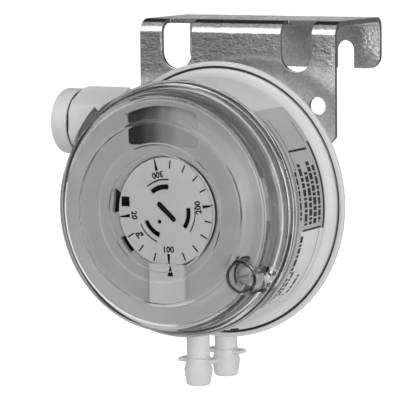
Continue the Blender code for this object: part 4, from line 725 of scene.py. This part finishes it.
def dial():
    """Dial face with its screwdriver slot, three wide and three narrow arc slots, on a dark
    core with a hub; the core's black is a painted shade seen through the arc slots."""
    slot = arc((3.1, 0), 0.85, -90, 90, 15) + arc((-3.1, 0), 0.85, 90, 270, 15)
    turn = Matrix.Rotation(math.radians(-41.4), 2)
    holes = [[tuple(turn @ Vector(p)) for p in slot]]
    for middle in (107.5, -12.5, 227.5):
        holes.append(ring_sector(6.6, 8.1, middle - 24, middle + 24))
        holes.append(ring_sector(9.3, 9.75, middle - 23, middle + 23))
    face = prism("dial_face", [circle((0, 0), DIAL_RADIUS, 144)] + holes, 42.95, DIAL_FRONT, 0.14)
    settle(face, DEVICE, DIAL, "dial", "dial_plastic", "setting_dial")
    # Painted shade: the core's black shows through the arc slots.
    core = prism("dial_core", [circle((0, 0), DIAL_RADIUS - 0.1, 96), holes[0]], DIAL_BACK, 42.94)
    merge(core, "UNION",
          turned("dial_hub", rounded([(5.5, 42.5), (6.7, 42.5), (6.7, 40.2), (5.5, 40.2)]), 64))
    settle(core, DEVICE, INK_AND_PAINTED_SHADE, "dial", "black_plastic")


def setting_coil():
    """Coil spring in two halves, which meet at a still middle."""
    lowest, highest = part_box("setting_spring")
    wire, radius, turns, steps, sides = 0.45, 6.0, 6.5, 28, 12
    back = (bracket_low.y - highest.y) / MM + wire
    front = (bracket_low.y - lowest.y) / MM - wire
    count = int(turns * steps)
    for word, body, first, last, end in (
            ("rear", "plate", 0, count // 2, back), ("front", "seat", count // 2, count, front)):
        work = bmesh.new()
        rings = []
        for i in range(first, last + 1):
            degrees = 360 * turns * i / count
            height = back + (front - back) * i / count
            rings.append([work.verts.new((*polar(radius + across, degrees), height + rise))
                          for across, rise in circle((0, 0), wire, sides)])
        tube(work, rings)
        piece = from_bmesh("coil_" + word, work)
        settle(piece, DEVICE, STEEL, None, "bright_steel", sharp=60)
        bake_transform(piece)
        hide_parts("setting_spring")


def print_on(name, outlines, surface, body):
    """Ink standing a hair above the surface that it is printed on, and rooted in it."""
    pieces = [prism(name + "_part", [outline], surface - 0.03, surface + 0.04)
              for outline in outlines]
    work = bmesh.new()
    for piece in pieces:
        work.from_mesh(piece.data)
        bpy.data.objects.remove(piece)
    settle(from_bmesh(name, work), DEVICE, INK_AND_PAINTED_SHADE, body, "black_plastic")


def letters(text, height, centre, up_degrees):
    """Figures printed on the dial, centred on a point, with their tops towards up_degrees."""
    name = "figures_" + text
    font = bpy.data.curves.new(name, "FONT")
    font.body = text
    font.size = height * 1.38
    font.align_x = "CENTER"
    font.align_y = "CENTER"
    font.extrude = 0.035
    font.offset = 0.08
    font.resolution_u = 3
    guide = add(name + "_guide", font)
    graph = bpy.context.evaluated_depsgraph_get()
    mesh = bpy.data.meshes.new_from_object(guide.evaluated_get(graph))
    bpy.data.objects.remove(guide)
    mesh.transform(Matrix.Translation((*centre, DIAL_FRONT + 0.005))
                   @ Matrix.Rotation(math.radians(up_degrees - 90), 4, "Z"))
    settle(add(name, mesh), DEVICE, INK_AND_PAINTED_SHADE, "dial", "black_plastic")


def radial_bar(radius_in, radius_out, degrees, width_in, width_out):
    """Outline of a bar that points at the dial's centre, with a width for each end."""
    along = Vector(polar(1, degrees))
    across = Vector((-along.y, along.x))
    return [tuple(along * r + across * w / 2) for r, w in (
        (radius_in, -width_in), (radius_out, -width_out), (radius_out, width_out),
        (radius_in, width_in))]


def dial_print():
    """Scale marks, figures and dots on the dial, and the pointer on the index tab."""
    minor = [(-4.0, -13.7), (-8.5, -11.2), (-11.8, -7.4), (6.1, -13.5), (10.1, -10.8),
             (12.9, -6.9), (14.9, -2.4), (12.6, 7.0), (9.9, 10.4), (5.9, 12.9), (1.4, 14.1)]
    major = (("300", 104.0, 11.2), ("200", 9.5, 10.9), ("100", -87.0, 11.2), ("20", 188.0, 10.9))
    bars = [radial_bar(12.9, 15.4, math.degrees(math.atan2(y, x)), 0.45, 0.4) for x, y in minor]
    bars += [radial_bar(12.4, 15.8, degrees, 1.0, 0.35) for _, degrees, _ in major]
    bars.append([(-15.1, 1.0), (-12.2, 1.0), (-12.4, 3.9), (-15.0, 3.9)])
    bars.append(circle((-2.2, -3.0), 0.6, 20))
    print_on("dial_marks", bars, DIAL_FRONT, "dial")
    for text, degrees, radius in major:
        letters(text, 1.85, polar(radius, degrees), degrees + 180)
    letters("Pa", 1.9, (-9.0, -7.2), 130)
    print_on("index_pointer", [[(1.7, -15.4), (2.75, -18.9), (0.75, -18.9)]], INDEX_FRONT,
             "housing")


def on_gland(tool):
    """Takes a tool from the device frame to the gland's own frame."""
    tool.data.transform(GLAND.inverted() @ DEVICE)
    return tool


def drum_tool(name, radius):
    """Drum of the given radius that flares to the rim behind it."""
    rim = 42.7
    return on_gland(turned(name, [
        (0, 38.0), (radius, 38.0), (radius, 15.6), (rim, 12.5), (rim, 2.3), (0, 2.3)]))


def gland():
    """Hexagonal body on a collar whose dark grey is a painted shade between the hexagon and the
    drum, with its round cap and the rubber bush. Its own frame has Z outward along the gland's
    axis."""
    corner = 11.0
    hexagon = rounded([(*polar(corner, 92.5 + 60 * i), 0.6) for i in range(6)], step=20)
    body = prism("gland_hex", [hexagon], 25, 40.7)
    trim = turned("trim", [(0, 41.5), (corner - 1.2, 41.5), (corner - 0.9, 40.7),
                           (corner + 1, 36.9), (corner + 1, 22), (0, 22)], 96)
    merge(body, "INTERSECT", trim)
    collar = rod("gland_collar", 9.4, (0, 0, 27), (0, 0, 42.0), 72)
    merge(body, "DIFFERENCE", drum_tool("saddle", 41.2))
    merge(collar, "DIFFERENCE", drum_tool("collar_saddle", 38.0))
    merge(collar, "INTERSECT", drum_tool("collar_reach", 42.8))
    relief = ring_sector(30, 43.0, 137.2, 200)
    merge(body, "DIFFERENCE", on_gland(prism("relief", [relief], 9, 38)))
    collar_front = ring_sector(41.0, 46.0, 100.0, 137.4)
    merge(collar, "DIFFERENCE", on_gland(prism("collar_front", [collar_front], 9, 38)))
    merge(collar, "DIFFERENCE", rod("collar_bore", 6.3, (0, 0, 26), (0, 0, 43)))
    # Painted shade: the collar's dark grey stands in for the shade between the hexagon and the
    # drum.
    settle(collar, GLAND, COLLAR_PAINTED_SHADE, "housing", "black_rubber")
    merge(body, "UNION", rod("spigot", 6.2, (0, 0, 27.2), (0, 0, 40.5)))
    merge(body, "UNION", rod("sleeve", 7.8, (0, 0, 40.5), (0, 0, 45.5), 72))
    merge(body, "DIFFERENCE", rod("bore", 5.0, (0, 0, 26.2), (0, 0, 46.5)),
          rod("seal_seat", 6.4, (0, 0, 40.2), (0, 0, 46.5), 72))
    settle(body, GLAND, GLAND_PALE, "housing", "housing_plastic", "gland_body")
    nut = turned("gland_cap", rounded([
        (4.2, 47.1, 0.3), (10.1, 47.1, 0.9), (10.1, 41.5, 0.15), (8.1, 41.5), (8.1, 46.3),
        (4.2, 46.3)]), 96)
    groove = turned("gland_groove_ring", rounded([
        (7.9, 41.6), (9.5, 41.6), (9.5, 40.6), (7.9, 40.6)]), 96)
    settle(groove, GLAND, RUBBER, "housing", "black_rubber")
    settle(nut, GLAND, GLAND_PALE, "housing", "housing_plastic", "gland_nut")
    seal = turned("gland_bush", rounded([
        (3.36, 45.5, 0.4), (6.1, 45.5), (6.1, 40.5), (3.36, 40.5, 0.4)]), 64)
    settle(seal, GLAND, RUBBER, "housing", "black_rubber", "gland_seal")


def wrapped(name, spans, low, high, material, slot, *nodes):
    """Strips on the drum between two radii. A span gives a strip's first and last angle, and its
    lesser and greater depth."""
    work = bmesh.new()
    for start, end, back, front in spans:
        count = max(1, math.ceil(abs(end - start) / 1.5))
        columns = []
        for i in range(count + 1):
            turn = start + (end - start) * i / count
            columns.append([work.verts.new((*polar(r, turn), d))
                            for r, d in ((low, back), (high, back), (high, front), (low, front))])
        tube(work, columns)
    settle(from_bmesh(name, work), DEVICE, material, "housing", slot, *nodes)


def label():
    """Grey film round the drum's right side, with plain bars and lines in generic fields."""
    film = 38.25
    wrapped("label_film", [(-48.9, 50.8, 15.8, 33.5)], 38.1, film, LABEL, "label_film",
            "rating_label")
    wrapped("label_field", [(-48.5, -8.6, 16.2, 30.6)], film - 0.03, film + 0.02, LABEL_LIGHT,
            "label_film")
    lines = [(27.4, 28.4, 19.3, 30.7), (-8.5, -7.6, 18.1, 30.1), (-9.0, 31.0, 16.2, 17.3),
             (31.0, 42.0, 18.6, 18.8), (19.0, 45.0, 30.9, 31.15), (-44.0, -9.0, 19.0, 19.25),
             (-48.0, 46.0, 33.2, 33.4)]
    lengths = (2.6, 1.4, 3.4, 1.8, 2.2, 3.0, 1.2)
    columns = ((18.9, 1.6, 20.0, -5.8), (21.6, 2.0, 22.0, -5.8), (24.5, 1.9, 17.5, -5.8),
               (27.6, 1.8, 21.5, -5.8), (31.3, 1.1, 18.5, -3.0),
               (29.1, 1.6, -10.5, -28.5), (27.6, 1.4, -28.0, -41.0), (29.6, 1.1, -31.0, -43.0),
               (22.4, 1.5, -30.5, -41.0))
    k = 0
    for depth, width, turn, end in columns:
        while turn > end:
            size = lengths[k % len(lengths)]
            lines.append((max(turn - size, end), turn, depth, depth + width))
            turn -= size + 0.65
            k += 1
    lines += [(-46.5, -46.2, 24.5, 30.0), (-41.8, -41.5, 24.5, 30.0), (-46.5, -41.5, 24.3, 24.5),
              (-46.5, -41.5, 30.0, 30.2)]
    wrapped("label_bars", lines, film - 0.03, film + 0.035, LABEL_INK, "black_plastic")


def dress_cad_nodes():
    """Materials of the CAD nodes that have no finer piece."""
    looks = {
        "diaphragm": RUBBER, "diaphragm_plate": PRESSED,
        "spring_seat": INNER, "setting_spindle": DARK, "spindle_ring": RUBBER,
        "switch_body": BLACK, "switch_plunger": INNER, "switch_lever": STEEL,
        # The terminal block's near black is a painted shade of the terminal compartment.
        "lever_pin": STEEL, "terminal_block": BLOCK, "gland_washer": GLAND_PALE}
    for i in (1, 2, 3):
        looks[f"terminal_{i}"] = BRASS
        looks[f"switch_lead_{i}"] = BRASS
    for name, material in looks.items():
        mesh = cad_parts[name].data
        mesh.materials.clear()
        mesh.materials.append(material)


def camera():
    """Camera fitted to the photograph, with its focal length first measured in pixels."""
    yaw, pitch, roll = (math.radians(a) for a in (28.96, 6.87, -0.6))
    focal_pixels, photo_pixels, distance = 2561.18, 400, 0.78862
    target = Vector((-7.39, -43.8, -46.79)) * MM
    back = Vector((math.sin(yaw) * math.cos(pitch), -math.cos(yaw) * math.cos(pitch),
                   math.sin(pitch)))
    right = Vector((math.cos(yaw), math.sin(yaw), 0))
    up = back.cross(right)
    across = math.cos(roll) * right + math.sin(roll) * up
    upward = math.cos(roll) * up - math.sin(roll) * right
    data = bpy.data.cameras.new("camera")
    data.sensor_width = 36.0
    data.lens = focal_pixels / photo_pixels * data.sensor_width
    data.clip_start = 0.01
    data.clip_end = 100.0
    made = add("camera", data)
    place = Matrix((across, upward, back)).transposed().to_4x4()
    made.matrix_world = Matrix.Translation(target + back * distance) @ place
    SCENE.camera = made


def closeness(tree, ray, direction):
    """Cosine of the angle between a ray and a direction."""
    made = node(tree, "ShaderNodeVectorMath", operation="DOT_PRODUCT")
    made.inputs[1].default_value = direction
    tree.links.new(ray, made.inputs[0])
    return made.outputs["Value"]


def mixed(tree, factor, one, other):
    made = node(tree, "ShaderNodeMixShader")
    for socket, source in zip(made.inputs, (factor, one, other)):
        tree.links.new(source, socket)
    return made.outputs[0]


def sky():
    """Even grey for matt surfaces, bright and dark bands for mirror-like and clear ones, white
    for the camera and for what is seen behind the clear parts."""
    world = bpy.data.worlds.new("studio")
    SCENE.world = world
    world.use_nodes = True
    tree = world.node_tree
    tree.nodes.clear()
    kinds = node(tree, "ShaderNodeLightPath").outputs
    ray = node(tree, "ShaderNodeTexCoord").outputs["Generated"]
    split = node(tree, "ShaderNodeSeparateXYZ")
    tree.links.new(ray, split.inputs[0])
    east, north, up = split.outputs["X"], split.outputs["Y"], split.outputs["Z"]
    south = maths(tree, "MULTIPLY", north, -1.0)
    height = maths(tree, "ARCTAN2", up, south)
    bands = ramp(tree, spread(tree, height, -math.pi, math.pi, 0, 1), (
        (-180, 1.4), (-120, 1.2), (-60, 0.75), (-20, 0.4), (-6, 0.2), (-3, 0.7), (3, 0.5),
        (7, 0.2), (15, 0.22), (20.5, 1.8), (41, 1.8), (48, 0.8), (92, 0.55), (101, 0.03),
        (148, 0.03), (155, 0.16), (167, 0.16), (172, 0.1), (176, 0.5), (180, 0.9)), -180, 180)
    dim_spot = spread(tree, closeness(tree, ray, Vector((-0.4753, -0.8589, -0.1908)).normalized()),
                      0.983, 0.997, 1.0, 0.12)
    soft = maths(tree, "MULTIPLY", dim_spot, spread(tree, east, 0.1, 0.75, 1.0, 0.9))
    glow = spread(tree, closeness(tree, ray, (-0.2410, -0.9666, -0.0872)), 0.982, 0.998, 0.0, 2.2)
    turn = maths(tree, "ARCTAN2", east, south)
    rise = spread(tree, turn, math.radians(-25), math.radians(-23), 0, 1)
    fall = spread(tree, turn, math.radians(-21), math.radians(-17), 1, 0)
    strip = maths(tree, "MULTIPLY", rise, fall)
    strength = maths(tree, "MULTIPLY_ADD", strip, spread(tree, up, -0.1, -0.06, 0.0, 0.8),
                     maths(tree, "ADD", glow, soft))
    even = node(tree, "ShaderNodeBackground", Color=grey(1.0), Strength=0.46)
    panel = node(tree, "ShaderNodeBackground", Strength=1.0)
    tree.links.new(bands, panel.inputs["Color"])
    tree.links.new(strength, panel.inputs["Strength"])
    white = node(tree, "ShaderNodeBackground", Color=grey(1.0), Strength=1.0)
    mirrored = maths(tree, "MAXIMUM", kinds["Is Glossy Ray"], kinds["Is Transmission Ray"])
    behind = maths(tree, "GREATER_THAN", north, 0.2)
    through = maths(tree, "MULTIPLY", kinds["Is Transmission Ray"], behind)
    seen = maths(tree, "MAXIMUM", kinds["Is Camera Ray"], through)
    lit = mixed(tree, mirrored, even.outputs[0], panel.outputs[0])
    output = node(tree, "ShaderNodeOutputWorld")
    tree.links.new(mixed(tree, seen, lit, white.outputs[0]), output.inputs["Surface"])


def lamps():
    aim = Vector((0, -0.045, -0.046))
    for name, place, size, power in (
            ("key_lamp", (-0.55, -1.05, 0.65), 0.9, 3.3),
            ("side_lamp", (1.05, -0.85, -0.15), 1.3, 14.5),
            ("top_lamp", (0.0, -0.1, 1.2), 0.9, 1.1)):
        data = bpy.data.lights.new(name, "AREA")
        data.shape = "RECTANGLE"
        data.size = data.size_y = size
        data.energy = power
        lamp = add(name, data)
        lamp.location = place
        lamp.visible_glossy = name != "top_lamp"
        lamp.rotation_euler = (Vector(place) - aim).to_track_quat("Z", "Y").to_euler()


def pale_floor():
    """Floor that the camera, also through clear parts, sees brighter than it is lit."""
    work = bmesh.new()
    bmesh.ops.create_grid(work, x_segments=8, y_segments=8, size=6.0)
    floor = from_bmesh("floor", work)
    floor.location = (0, 5.4, -0.24)
    material = look("pale_floor", grey(0.82), 0.6, vary=0.01, mottle=2)
    tree = material.node_tree
    shader = tree.nodes["Principled BSDF"]
    kinds = node(tree, "ShaderNodeLightPath").outputs
    seen = maths(tree, "MAXIMUM", kinds["Is Camera Ray"], kinds["Is Transmission Ray"])
    tree.links.new(maths(tree, "MULTIPLY", seen, 0.8), shader.inputs["Emission Strength"])
    shader.inputs["Emission Color"].default_value = grey(1.0)
    floor.data.materials.append(material)


bracket()
screws()
rear_housing()
front_housing()
clear_cover()
gasket()
liner()
carrier()
dial()
dial_print()
setting_coil()
gland()
label()
dress_cad_nodes()
camera()
sky()
lamps()
pale_floor()
